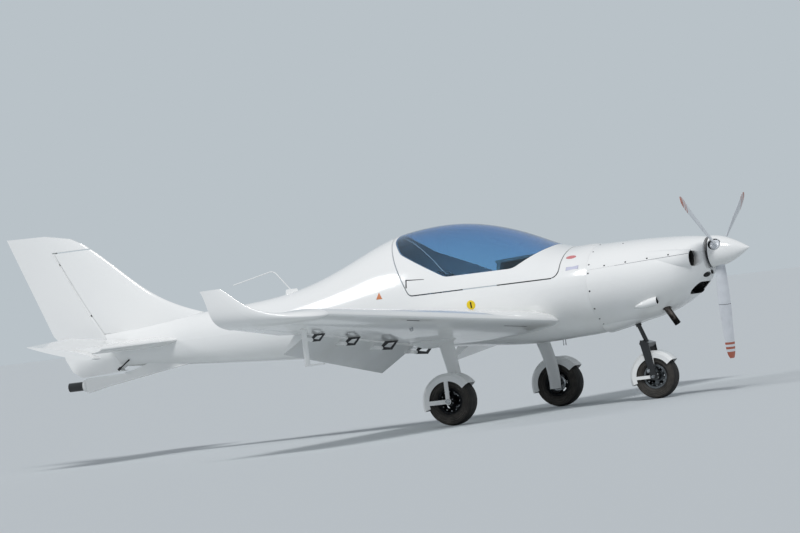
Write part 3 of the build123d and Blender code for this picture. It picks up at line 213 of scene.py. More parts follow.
def heated_steel(name, colour, soot):
    """Steel tube that engine heat has blued, with soot at its open end."""
    shade = Shade(name, colour, 0.42, Metallic=1.0)
    height = shade.maths("ADD", shade.part(shade.place, "Z"), shade.patches(30, 4.0, 0.3, 0.7, -0.03, 0.03))
    return shade.feed("Base Color", shade.mix(shade.spread(height, 0.66, 0.60), colour, soot))


def woven_cloth(name, colour, thread, radian_mm):
    """Cloth woven from two yarns. Its waves advance a radian each radian_mm, far wider than real, to show."""
    shade = Shade(name, colour, 0.9, Sheen_Weight=0.25, Sheen_Roughness=0.5)
    waves = {"Vector": shade.place, "Scale": 1000 / radian_mm / 20, "Distortion": 0.4}
    rows = [shade.node("ShaderNodeTexWave", waves, bands_direction=axis) for axis in ("Y", "Z")]
    weave = shade.maths("MULTIPLY", *[row.outputs["Fac"] for row in rows])
    yarn = shade.mix(shade.spread(weave, 0.0, 0.7), colour, thread)
    shade.bump(weave, 0.4)
    return shade.feed("Base Color", shade.mix(shade.patches(120, 3.0, 0.3, 0.7, 0.0, 0.35), yarn, colour))


def plain_moulding(name, colour, roughness, second, grain_mm=1.2, depth_mm=0.08, **sockets):
    """Painted or moulded surface with a fine grain and a slight drift of colour."""
    return Shade(name, colour, roughness, **sockets).vary(second, 180, grain_mm, depth_mm)


FINISHES = {}


def make_finishes(choice):
    FINISHES.update(
        white_gelcoat=white_gelcoat("gelcoat_white", "#f4f5f4", choice.greying_below),
        blue_acrylic=tinted_acrylic("acrylic_blue_tint", "#b8def7", "#1b69c8"),
        black_paint=plain_moulding("enamel_black", "#121417", 0.28, "#1c1f23", 6, 0.02, Coat_Weight=0.4),
        dark_grey_plate=cast_metal("plate_dark_grey", "#3a3d41", 0.45, "#2a2c2f"),
        engine_metal=cast_metal("engine_cast_alloy", "#4a4c4e", 0.55, "#2b2c2d"),
        exhaust_steel=heated_steel("exhaust_steel", "#5a5450", "#141312"),
        tyre_rubber=worn_rubber("tyre_rubber", "#121212", "#4f4a44"),
        rim_metal=cast_metal("rim_cast_aluminium", "#85888b", 0.38, "#55585a"),
        # near black cast metal: painted shade, for the main rims in the wing's shadow and the disc inside the
        # nose wheel
        rim_dark=cast_metal("rim_dark_casting", "#2b2d2f", 0.5, "#1b1c1e"),
        axle_steel=cast_metal("axle_turned_steel", "#c4c6c8", 0.24, "#8e9093"),
        blade_grey=blade_lacquer("blade_grey_lacquer", "#d7dbe0", "#a8553a", "#4b4f55"),
        hub_dark=cast_metal("hub_anodised_dark", "#2a2c30", 0.35, "#1c1d20"),
        seat_fabric=woven_cloth("seat_cloth_grey", "#59616b", "#7c8590", 6),
        cabin_shell=plain_moulding("cabin_laminate_grey", "#8d949b", 0.5, "#7d848b", 2.0, 0.1),
        panel_grey=plain_moulding("coaming_grey_green", "#7b8884", 0.65, "#6b7774", 1.5, 0.15),
        white_paint=plain_moulding("fitting_white_paint", "#e9eaea", 0.35, "#dcdddd"),
        joint_shadow=plain_moulding("joint_shadow_grey", "#8b8e92", 0.8, "#7d8084"),
        # near black: the control sticks' own black, and painted shade in the intake ducts, the small oval
        # inlet and the leading edge slots
        opening_black=plain_moulding("matte_black_and_painted_shade", "#050505", 0.8, "#0b0b0c", 3.0, 0.2),
        yellow_film=plain_moulding("marker_yellow_film", "#f0d21c", 0.35, "#e6c512"),
        orange_film=plain_moulding("marker_orange_film", "#d9895a", 0.4, "#cc7746"),
        red_film=plain_moulding("marker_red_film", "#d98b8d", 0.4, "#cf7a7d"),
        lilac_film=plain_moulding("plate_pale_film", "#cfd0e2", 0.4, "#c4c6dc"),
        display_glass=plain_moulding("display_black_glass", "#0d1014", 0.12, "#11161c", 8, 0.01,
                                     Coat_Weight=1.0),
        webbing=woven_cloth("belt_webbing_black", "#1b1d20", "#2c2f33", 5),
    )


# Which finish each CAD node gets; the nodes that aren't named here are white
FINISH_OF_NODE = {
    "blue_acrylic": "canopy_glass",
    "black_paint": "flap_brackets_right flap_brackets_left nose_strut nose_fork tow_release",
    "engine_metal": "engine",
    "exhaust_steel": "exhaust",
    "tyre_rubber": "nose_tyre main_right_tyre main_left_tyre",
    "rim_metal": "nose_rim",
    # the main rims' near black is painted shade from the wing above them
    "rim_dark": "main_right_rim main_left_rim",
    "axle_steel": "nose_axle main_right_axle main_left_axle tie_down_right tie_down_left drain_tubes",
    "blade_grey": "propeller_blades",
    "hub_dark": "propeller_hub",
    "seat_fabric": "seat_cushions back_cushions",
    "cabin_shell": "seat_shells centre_console",
    "panel_grey": "instrument_panel",
    "opening_black": "control_sticks",
}


def linked(name, data):
    """A new object in the scene."""
    made = bpy.data.objects.new(name, data)
    bpy.context.scene.collection.objects.link(made)
    return made


def coat(mesh, finish):
    mesh.materials.clear()
    mesh.materials.append(FINISHES[finish])


def piece(name, mesh, finish, body="airframe", smooth=True):
    """Links a finished mesh as a piece that rides on a body."""
    made = linked(name, mesh)
    if finish:
        coat(mesh, finish)
    for face in mesh.polygons:
        face.use_smooth = smooth
    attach(made, body)
    return made


def turns(steps, first=0.0):
    """The cosine and sine of each step round a circle."""
    angles = [2 * math.pi * (i + first) / steps for i in range(steps)]
    return [(math.cos(angle), math.sin(angle)) for angle in angles]


def between(rings, steps):
    """The faces that join rings of points."""
    return [(ring * steps + i, ring * steps + (i + 1) % steps, (ring + 1) * steps + (i + 1) % steps,
             (ring + 1) * steps + i) for ring in range(rings - 1) for i in range(steps)]


def bar_faces(rings, steps):
    """The faces of a closed bar: its sides between rings of points, and its two ends."""
    last = (rings - 1) * steps
    return between(rings, steps) + [tuple(range(steps)), tuple(range(last, last + steps))]


def mesh_from(vertices, faces, fix_normals=True):
    mesh = bpy.data.meshes.new("form")
    mesh.from_pydata([tuple(v) for v in vertices], [], faces)
    if fix_normals:
        form = bmesh.new()
        form.from_mesh(mesh)
        bmesh.ops.remove_doubles(form, verts=form.verts, dist=1e-6)
        bmesh.ops.recalc_face_normals(form, faces=form.faces)
        form.to_mesh(mesh)
        form.free()
    mesh.update()
    return mesh


def freed(form):
    """The mesh of a bmesh, which is then given up."""
    mesh = bpy.data.meshes.new("form")
    form.to_mesh(mesh)
    form.free()
    return mesh


def evaluated(thing):
    """A plain mesh of an object with its modifiers applied."""
    return bpy.data.meshes.new_from_object(thing.evaluated_get(bpy.context.evaluated_depsgraph_get()))


def join_meshes(meshes):
    """One mesh from several."""
    form = bmesh.new()
    for mesh in meshes:
        form.from_mesh(mesh)
    return freed(form)


def turned_form(profile, origin, axis, steps):
    """A closed profile of (along the axis, radius) turned round an axis through origin."""
    axis = Vector(axis).normalized()
    first = axis.orthogonal().normalized()
    second = axis.cross(first)
    vertices, faces, count = [], [], len(profile)
    for step, (cosine, sine) in enumerate(turns(steps)):
        out = first * cosine + second * sine
        vertices += [Vector(origin) + axis * along + out * radius for along, radius in profile]
        for i in range(count):
            j, k = (i + 1) % count, (step + 1) % steps
            faces.append((step * count + i, step * count + j, k * count + j, k * count + i))
    return mesh_from(vertices, faces)


def headings(points):
    """The way that a line of points runs at each of them."""
    last = len(points) - 1
    return [points[min(i + 1, last)] - points[max(i - 1, 0)] for i in range(last + 1)]


def round_bar(points, radius, sides=10):
    """A round bar along points, closed at its ends."""
    points, vertices = [Vector(p) for p in points], []
    for point, ahead in zip(points, headings(points)):
        # any direction that no bar here follows
        first = ahead.cross(Vector((0.13, 0.97, 0.2))).normalized()
        second = ahead.cross(first).normalized()
        vertices += [point + radius * (first * cosine + second * sine) for cosine, sine in turns(sides)]
    return mesh_from(vertices, bar_faces(len(points), sides))


def soft_box(low, high, edge, turn=None):
    """A box with rounded edges between two corners."""
    form = bmesh.new()
    bmesh.ops.create_cube(form, size=1)
    low, high = Vector(low), Vector(high)
    for vertex in form.verts:
        vertex.co = (low + high) / 2 + Vector([c * s for c, s in zip(vertex.co, high - low)])
    bmesh.ops.bevel(form, geom=form.edges[:], offset=edge, segments=3, affect="EDGES", profile=0.5)
    if turn:
        bmesh.ops.transform(form, matrix=turn, verts=form.verts)
    return freed(form)


def surface_of(*names):
    """A search tree over the surfaces of these CAD nodes."""
    vertices, faces = [], []
    for name in names:
        mesh, start = NODES[name].data, len(vertices)
        vertices += [vertex.co.copy() for vertex in mesh.vertices]
        faces += [[start + i for i in face.vertices] for face in mesh.polygons]
    return BVHTree.FromPolygons(vertices, faces)


def seen_from(surface, start, towards):
    """Where a straight look meets a surface, with the normal turned to the eye; None where it misses."""
    towards = Vector(towards).normalized()
    place, normal, _, _ = surface.ray_cast(Vector(start), towards)
    if place is None:
        return None
    return place, -normal if normal.dot(towards) > 0 else normal


def from_ahead(surface, y, z):
    return seen_from(surface, (AHEAD_X, y, z), (-1, 0, 0))


def on_flank(surface, x, z, side):
    return seen_from(surface, (x, 3 * side, z), (0, -side, 0))


def on_hoop(surface, x, angle):
    """The outside of the body at a place along it, seen from an angle in degrees round its middle."""
    out = Vector((0, math.cos(math.radians(angle)), math.sin(math.radians(angle))))
    return seen_from(surface, Vector((x, 0, HOOP_Z)) + 2 * out, -out)


def laid_strip(hits, width):
    """A thin flat strip that follows points on a surface."""
    hits, vertices = [hit for hit in hits if hit], []
    for (place, normal), ahead in zip(hits, headings([place for place, _ in hits])):
        across = ahead.cross(normal).normalized() * width / 2
        top, under = place + normal * STRIP_LIFT, place - normal * STRIP_SINK
        vertices += [top + across, top - across, under - across, under + across]
    return mesh_from(vertices, bar_faces(len(hits), 4))


def laid_patch(surface, outline, side, lift=0.0007):
    """A thin flat piece that follows the flank: outline is (x, z) points, taken in rings to its middle."""
    middle = [sum(p[i] for p in outline) / len(outline) for i in (0, 1)]
    rings, count = 4, len(outline)
    spots = [[m + (c - m) * (1 - ring / rings) for c, m in zip(corner, middle)]
             for ring in range(rings) for corner in outline]
    vertices = [place + normal * lift
                for place, normal in [on_flank(surface, *spot, side) for spot in spots + [middle]]]
    last, under = (rings - 1) * count, len(vertices)
    vertices += [vertex - Vector((0, side * 0.004, 0)) for vertex in vertices[:count]]
    faces = between(rings, count) + [tuple(range(under, under + count))]
    for i in range(count):
        j = (i + 1) % count
        faces += [(last + i, last + j, rings * count), (i, j, under + j, under + i)]
    return mesh_from(vertices, faces)


def ring_of(first, second, first_radius, second_radius, steps):
    """The corners of an oval round a middle."""
    return [(first + first_radius * cosine, second + second_radius * sine) for cosine, sine in turns(steps)]


def start_geometry_tree(name, sizes):
    """A geometry tree with a mesh input and named sizes, and what it is given."""
    tree = bpy.data.node_groups.new(name, "GeometryNodeTree")
    for way in ("INPUT", "OUTPUT"):
        tree.interface.new_socket("Geometry", in_out=way, socket_type="NodeSocketGeometry")
    for label, default in sizes.items():
        kind = "NodeSocketInt" if isinstance(default, int) else "NodeSocketFloat"
        tree.interface.new_socket(label, in_out="INPUT", socket_type=kind).default_value = default
    return tree, add_node(tree, "NodeGroupInput").outputs


def end_geometry_tree(tree, geometry, finish):
    whole = add_node(tree, "GeometryNodeRealizeInstances", {0: geometry}).outputs[0]
    dressed = add_node(tree, "GeometryNodeSetMaterial", {"Geometry": whole, "Material": FINISHES[finish]})
    add_node(tree, "NodeGroupOutput", {0: dressed.outputs[0]})


def grown_mesh(mesh, tree, sizes):
    """The plain mesh that a geometry tree makes from a mesh."""
    base = linked("base", mesh)
    modifier = base.modifiers.new("grow", "NODES")
    modifier.node_group = tree
    for item in tree.interface.items_tree:
        if item.in_out == "INPUT" and item.name in sizes:
            modifier[item.identifier] = sizes[item.name]
    made = evaluated(base)
    bpy.data.objects.remove(base)
    return made


def screw_tree(finish):
    """Screw heads on points: each turns to its point's facing attribute and tapers to a small flat top."""
    tree, given = start_geometry_tree("screw_heads", {"Head radius": 0.006, "Head height": 0.0016})
    facing = add_node(tree, "GeometryNodeInputNamedAttribute", {"Name": "facing"}, data_type="FLOAT_VECTOR")
    turned = add_node(tree, "FunctionNodeAlignRotationToVector", {"Vector": facing.outputs[0]}, axis="Z")
    head = add_node(tree, "GeometryNodeMeshCone",
                    {"Vertices": 14, "Radius Bottom": given["Head radius"], "Radius Top": 0.0036,
                     "Depth": given["Head height"]})
    heads = add_node(tree, "GeometryNodeInstanceOnPoints",
                     {"Points": given["Geometry"], "Instance": head.outputs["Mesh"],
                      "Rotation": turned.outputs[0]})
    end_geometry_tree(tree, heads.outputs[0], finish)
    return tree


def screws_at(name, hits, finish, body="airframe"):
    hits = [hit for hit in hits if hit]
    mesh = mesh_from([place for place, _ in hits], [], fix_normals=False)
    facing = mesh.attributes.new("facing", "FLOAT_VECTOR", "POINT")
    for item, (_, normal) in zip(facing.data, hits):
        item.vector = normal
    settings = bpy.context.scene.ultralight_screws
    made = grown_mesh(mesh, screw_tree(finish), {"Head radius": settings.head_radius})
    return piece(name, made, None, body)


def along(start, end, steps):
    return [tuple(a + (b - a) * i / (steps - 1) for a, b in zip(start, end)) for i in range(steps)]


def number(name, description, default, low, high, unit="NONE"):
    return bpy.props.FloatProperty(name=name, description=description, default=default, min=low, max=high,
                                   unit=unit)


class FinishSettings(bpy.types.PropertyGroup):
    greying_below: number("Belly greying", "How much grey shows in patches on surfaces that face down", 0.35, 0.0, 1.0)


class ScrewSettings(bpy.types.PropertyGroup):
    head_radius: number("Head radius", "Radius of a cowling screw's head", 0.007, 0.002, 0.02, "LENGTH")
    pitch: number("Pitch", "Distance between the screws of the side joint", 0.168, 0.05, 0.5, "LENGTH")


class TyreSettings(bpy.types.PropertyGroup):
    grooves: bpy.props.IntProperty(name="Grooves", description="Grooves round the tread", default=4, min=0,
                                   max=8)
    groove_depth: number("Groove depth", "Depth of each tread groove", 0.005, 0.0, 0.01, "LENGTH")


class CushionSettings(bpy.types.PropertyGroup):
    pressure: number("Pressure", "Air pressure that swells a cushion", 4.0, 0.0, 20.0)
    channel_pitch: number("Channel pitch", "Distance between sewn channels", 0.095, 0.03, 0.3, "LENGTH")


class StageSettings(bpy.types.PropertyGroup):
    floor_colour: bpy.props.FloatVectorProperty(name="Floor", description="Colour of the studio floor",
                                                subtype="COLOR", size=3, default=linear("#c9cfd2")[:3])
    key: number("Key light", "Strength of the main sun lamp", 1.7, 0.0, 100.0)
    fill: number("Fill light", "Strength of the light from all round", 0.32, 0.0, 100.0)


class ULTRALIGHT_OT_finishes(bpy.types.Operator):
    """Gives every CAD node its finish"""
    bl_idname = "ultralight.finishes"
    bl_label = "Finishes"

    def execute(self, context):
        make_finishes(context.scene.ultralight_finish)
        finish_of = {node: finish for finish, nodes in FINISH_OF_NODE.items() for node in nodes.split()}
        for name, node in NODES.items():
            coat(node.data, finish_of.get(name, "white_gelcoat"))
        return {"FINISHED"}


class ULTRALIGHT_OT_panel_joints(bpy.types.Operator):
    """Draws the shut lines of the cowling"""
    bl_idname = "ultralight.panel_joints"
    bl_label = "Panel joints"

    def execute(self, context):
        body = surface_of("fuselage", "cowling_upper", "cowling_lower")
        line = along((FIREWALL_X, SPLIT_REAR_Z), (COWL_FRONT_X - 0.03, SPLIT_FRONT_Z - 0.001), 40)
        strips = [laid_strip([on_flank(body, x, z, side) for x, z in line], 0.003) for side in (-1, 1)]
        hoop = [on_hoop(body, FIREWALL_X + 0.0005, angle) for angle in range(-62, 243, 4)]
        strips.append(laid_strip(hoop, 0.004))
        piece("cowling_joints", join_meshes(strips), "joint_shadow")
        return {"FINISHED"}


class ULTRALIGHT_OT_screws(bpy.types.Operator):
    """Sets the screws along the cowling's joints"""
    bl_idname = "ultralight.screws"
    bl_label = "Cowling screws"

    def execute(self, context):
        body, hits = surface_of("fuselage", "cowling_upper", "cowling_lower"), []
        first, pitch = FIREWALL_X + 0.148, context.scene.ultralight_screws.pitch
        count = 1 + int((COWL_FRONT_X - 0.04 - first) / pitch)
        for side in (-1, 1):
            for x in [first + i * pitch for i in range(count)]:
                share = (x - FIREWALL_X) / (COWL_FRONT_X - FIREWALL_X)
                height = SPLIT_REAR_Z + share * (SPLIT_FRONT_Z - SPLIT_REAR_Z) + 0.014
                hits.append(on_flank(body, x, height, side))
        for angle in (-52, -40, -24, -4, 14, 24, 46, 74, 106, 134, 156, 166, 184, 204, 220, 232):
            hits.append(on_hoop(body, FIREWALL_X + 0.018, angle))
        hits.append(seen_from(body, (2.222, -0.153, 2.0), (0, 0, -1)))
        screws_at("cowling_screws", hits, "hub_dark")
        return {"FINISHED"}


class ULTRALIGHT_OT_tyres(bpy.types.Operator):
    """Turns the ribbed tyres that stand for the plain CAD tyres"""
    bl_idname = "ultralight.tyres"
    bl_label = "Tyres"

    def execute(self, context):
        settings = context.scene.ultralight_tyres
        for name, x, y, z, radius, width, rim, body in WHEELS:
            # the profile of one side, from the bead outwards
            bead = ((0.36, 0.0005), (0.40, 0.006), (0.435, 0.010))
            wall = [(-share * width, rim + out) for share, out in bead]
            # moulded rings: how high on the wall and how far out, as shares of the tyre's height and width
            for share, out in ((0.25, 0.475), (0.4, 0.497), (0.55, 0.5), (0.7, 0.488), (0.8, 0.462)):
                ring = self.ring(out * width, share)
                wall += [(-place, rim + high * (radius - rim)) for place, high in ring]
            steps, shoulder, edge = 14, 0.44 * width, radius - 0.17 * width
            grooves = [-0.27 * width + 0.54 * width * i / max(settings.grooves - 1, 1)
                       for i in range(settings.grooves)]
            places = {-shoulder + 2 * shoulder * i / steps for i in range(steps + 1)}
            places |= {groove + off for groove in grooves for off in (-0.0048, -0.0034, 0.0034, 0.0048)}
            tread = []
            for place in sorted(places):
                rounded = max(0.0, 1 - (abs(place) / (shoulder * 1.02)) ** 2.4)
                height = edge + (radius - edge) * math.sqrt(rounded)
                cut = any(abs(place - groove) < 0.004 for groove in grooves)
                tread.append((place, height - (settings.groove_depth if cut else 0.0)))
            profile = wall + tread + [(-place, out) for place, out in reversed(wall)]
            form = turned_form(profile, (x, y, z), (0, 1, 0), 96)
            tyre = piece(f"{name}_ribbed_tyre", form, "tyre_rubber", body=body)
            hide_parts(f"{name}_tyre")
        return {"FINISHED"}

    def ring(self, place, share):
        """A moulded ring 2.5 mm proud of the sidewall, and the wall on both sides of it."""
        proud = place + 0.0025
        return [(place, share), (proud, share + 0.02), (proud, share + 0.05), (place, share + 0.07)]


class ULTRALIGHT_OT_wheel_hubs(bpy.types.Operator):
    """Adds the bolts and brake discs of the wheels, a near black disc of painted shade inside the nose wheel,
    and the clamp on the nose wheel's fork
    """
    bl_idname = "ultralight.wheel_hubs"
    bl_label = "Wheel hubs"

    def execute(self, context):
        for name, x, y, z, radius, width, rim, body in WHEELS:
            outer = -1 if y <= 0 else 1
            # bolts of a circle, its first step, its radius, and its place as a share of the tyre's width
            hits, circles = [], ((5, 0.5, 0.248 * rim, 0.342), (12, 0.0, rim - 0.024, 0.262))
            for face in ((outer,) if y else (-1, 1)):
                for count, first, reach, across in circles:
                    for cosine, sine in turns(count, first):
                        place = Vector((x + reach * cosine, y + face * across * width, z + reach * sine))
                        hits.append((place, Vector((0, face, 0))))
            screws_at(f"{name}_hub_bolts", hits, "axle_steel", body)
            if y:
                inner = -outer * 0.31 * width
                disc = self.disc((x, y, z), inner - 0.0025, inner + 0.0025, 0.034, 0.070)
                piece(f"{name}_brake_disc", disc, "axle_steel", body=body)
            else:
                # a near black disc inside the nose wheel, by its left face: painted shade
                shade = self.disc((x, y, z), 0.036, 0.039, 0.016, 0.074)
                piece("nose_wheel_painted_shade_disc", shade, "rim_dark", body)
        pad = soft_box((2.262, -0.0870, 0.212), (2.286, -0.0822, 0.236), 0.0015)
        piece("nose_fork_clamp", pad, "axle_steel", body="nose_leg")
        return {"FINISHED"}

    def disc(self, centre, near, far, bore, radius):
        """A flat ring on the axle between two distances from the wheel's middle."""
        return turned_form([(near, bore), (near, radius), (far, radius), (far, bore)], centre, (0, 1, 0), 48)


class ULTRALIGHT_OT_blade_cuffs(bpy.types.Operator):
    """Closes the holes of the spinner round the blade roots with domed cuffs"""
    bl_idname = "ultralight.blade_cuffs"
    bl_label = "Blade cuffs"

    def execute(self, context):
        dome = [(0.0615, 0.0), (0.0615, 0.046), (0.098, 0.046), (0.108, 0.041), (0.1155, 0.030), (0.119, 0.0)]
        ways = [math.radians(90 - angle) for angle in BLADE_ANGLES]
        cuffs = [turned_form(dome, (PROP_X, 0, PROP_Z), (0, math.cos(way), math.sin(way)), 40)
                 for way in ways]
        piece("blade_cuffs", join_meshes(cuffs), "blade_grey", body="propeller")
        return {"FINISHED"}


class ULTRALIGHT_OT_cushions(bpy.types.Operator):
    """Swells the seat and back cushions from the CAD pads with cloth pressure and sews their channels"""
    bl_idname = "ultralight.cushions"
    bl_label = "Cushions"

    def execute(self, context):
        settings = context.scene.ultralight_cushions
        for node in ("seat_cushions", "back_cushions"):
            for label, side in SIDES:
                self.swell(f"{label}_{node[:-1]}", node, side, settings)
        return {"FINISHED"}

    def swell(self, name, node, side, settings):
        form = bmesh.new()
        form.from_mesh(NODES[node].data)
        bmesh.ops.remove_doubles(form, verts=form.verts, dist=1e-5)
        bmesh.ops.delete(form, geom=[v for v in form.verts if v.co.y * side < 0], context="VERTS")
        middle = sum((v.co for v in form.verts), Vector()) / len(form.verts)
        for vertex in form.verts:
            vertex.co = middle + Vector([c * share for c, share in zip(vertex.co - middle, CUSHION_SHARES)])
        pad = piece(name, freed(form), "seat_fabric")
        remesh = pad.modifiers.new("voxels", "REMESH")
        remesh.mode, remesh.voxel_size = "VOXEL", CUSHION_MESH
        pad.data = evaluated(pad)
        pad.modifiers.clear()
        start = [v.co.copy() for v in pad.data.vertices]
        cloth = pad.modifiers.new("cloth", "CLOTH")
        cloth.settings.use_pressure = True
        cloth.settings.uniform_pressure_force = settings.pressure
        cloth.settings.effector_weights.gravity = 0
        cloth.point_cache.frame_end = CUSHION_STEPS
        for step in range(1, CUSHION_STEPS + 1):
            bpy.context.scene.frame_set(step)
        pad.data = evaluated(pad)
        pad.modifiers.clear()
        bpy.context.scene.frame_set(1)
        # a back cushion is taller along z, and a seat cushion is longer along x
        axis = 2 if node == "back_cushions" else 0
        low, high = min(v[axis] for v in start), max(v[axis] for v in start)
        # how far the cloth may move, how far the sides draw in, and how deep and wide a sewn channel is
        most, drawn, seam = 0.010, 0.004, 0.006
        for vertex, first in zip(pad.data.vertices, start):
            moved = vertex.co - first
            if moved.length > most:
                moved *= most / moved.length
            place = first + moved
            reach = first[axis] - low
            pull = 1 - (reach / (high - low) * 2 - 1) ** 2
            place.y -= side * drawn * pull * (1 if (first.y - middle.y) * side > 0 else -1)
            down = reach % settings.channel_pitch - settings.channel_pitch / 2
            sewn = seam * math.exp(-(down / seam) ** 2)
            if axis == 2 and vertex.normal.x > 0.3:
                place.x -= sewn
            if axis == 0 and vertex.normal.z > 0.6:
                place.z -= sewn
            vertex.co = place
        for face in pad.data.polygons:
            face.use_smooth = True
        coat(pad.data, "seat_fabric")
        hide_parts(node)


class ULTRALIGHT_OT_belts(bpy.types.Operator):
    """Lays the shoulder and lap belts on the seats"""
    bl_idname = "ultralight.belts"
    bl_label = "Belts"

    def execute(self, context):
        # x and z of a shoulder belt; the two of a seat start 140 mm apart and end 56 mm apart
        line = ((0.52, 1.205), (0.585, 1.17), (0.66, 1.01), (0.735, 0.86), (0.79, 0.80), (0.83, 0.795))
        for label, side in SIDES:
            y = side * SEAT_Y
            straps = [self.strap([(x, y + offset * (1 - 0.6 * i / 5), z) for i, (x, z) in enumerate(line)])
                      for offset in (-0.07, 0.07)]
            straps.append(soft_box((0.815, y - 0.035, 0.785), (0.860, y + 0.035, 0.802), 0.004))
            piece(f"{label}_belts", join_meshes(straps), "webbing")
        return {"FINISHED"}

    def strap(self, points):
        """A flat strap 40 mm wide and 2 mm thick along points, its width across the aircraft."""
        points, vertices = [Vector(p) for p in points], []
        for point, ahead in zip(points, headings(points)):
            thick = ahead.cross(Vector((0, 1, 0))).normalized() * 0.001
            for across, up in ((0.02, thick), (-0.02, thick), (-0.02, -thick), (0.02, -thick)):
                vertices.append(point + Vector((0, across, 0)) + up)
        return mesh_from(vertices, bar_faces(len(points), 4))


class ULTRALIGHT_OT_instruments(bpy.types.Operator):
    """Fits the displays, dials and switches on the instrument panel"""
    bl_idname = "ultralight.instruments"
    bl_label = "Instruments"

    def execute(self, context):
        bezels, dials, hands = [], [], []
        # y, z and radius of each dial
        places = [(y, z, 0.032) for y in (-0.36, 0.36) for z in (1.10, 1.02)]
        places += [(y, z, 0.030) for y in (-0.05, 0.05) for z in (1.12, 1.04)]
        for y, z, radius in places:
            centre, near, far = (self.face_x(z), y, z), radius - 0.004, radius + 0.004
            ring = [(0.0, near), (0.0, far), (-0.006, far), (-0.008, radius), (-0.005, near)]
            disc = [(-0.0005, 0.0001), (-0.0005, near + 0.001), (-0.002, near + 0.001), (-0.002, 0.0001)]
            bezels.append(turned_form(ring, centre, (1, 0, 0), 32))
            dials.append(turned_form(disc, centre, (1, 0, 0), 24))
            turn = Matrix.Translation(centre) @ Matrix.Rotation(0.7 + 5 * y, 4, "X")
            hands.append(soft_box((-0.0035, -0.0012, -0.004), (-0.0025, 0.0012, radius * 0.72), 0.0003, turn))
        x = self.face_x(1.075)
        for y in (-0.215, 0.215):
            bezels.append(soft_box((x - 0.012, y - 0.105, 1.00), (x + 0.004, y + 0.105, 1.15), 0.005))
            dials.append(soft_box((x - 0.0135, y - 0.092, 1.014), (x - 0.0100, y + 0.092, 1.136), 0.001))
        for i in range(9):
            place = (self.face_x(0.965), -0.16 + 0.04 * i, 0.965)
            turn = Matrix.Translation(place) @ Matrix.Rotation(0.5, 4, "Y")
            hands.append(soft_box((-0.014, -0.004, -0.004), (0.002, 0.004, 0.004), 0.0015, turn))
        piece("instrument_bezels", join_meshes(bezels), "hub_dark")
        piece("instrument_faces", join_meshes(dials), "display_glass")
        piece("instrument_hands", join_meshes(hands), "white_paint")
        return {"FINISHED"}

    def face_x(self, z):
        """Where the leaning face of the panel stands at a height."""
        return 1.286 - (z - 0.940) * 0.010 / 0.265


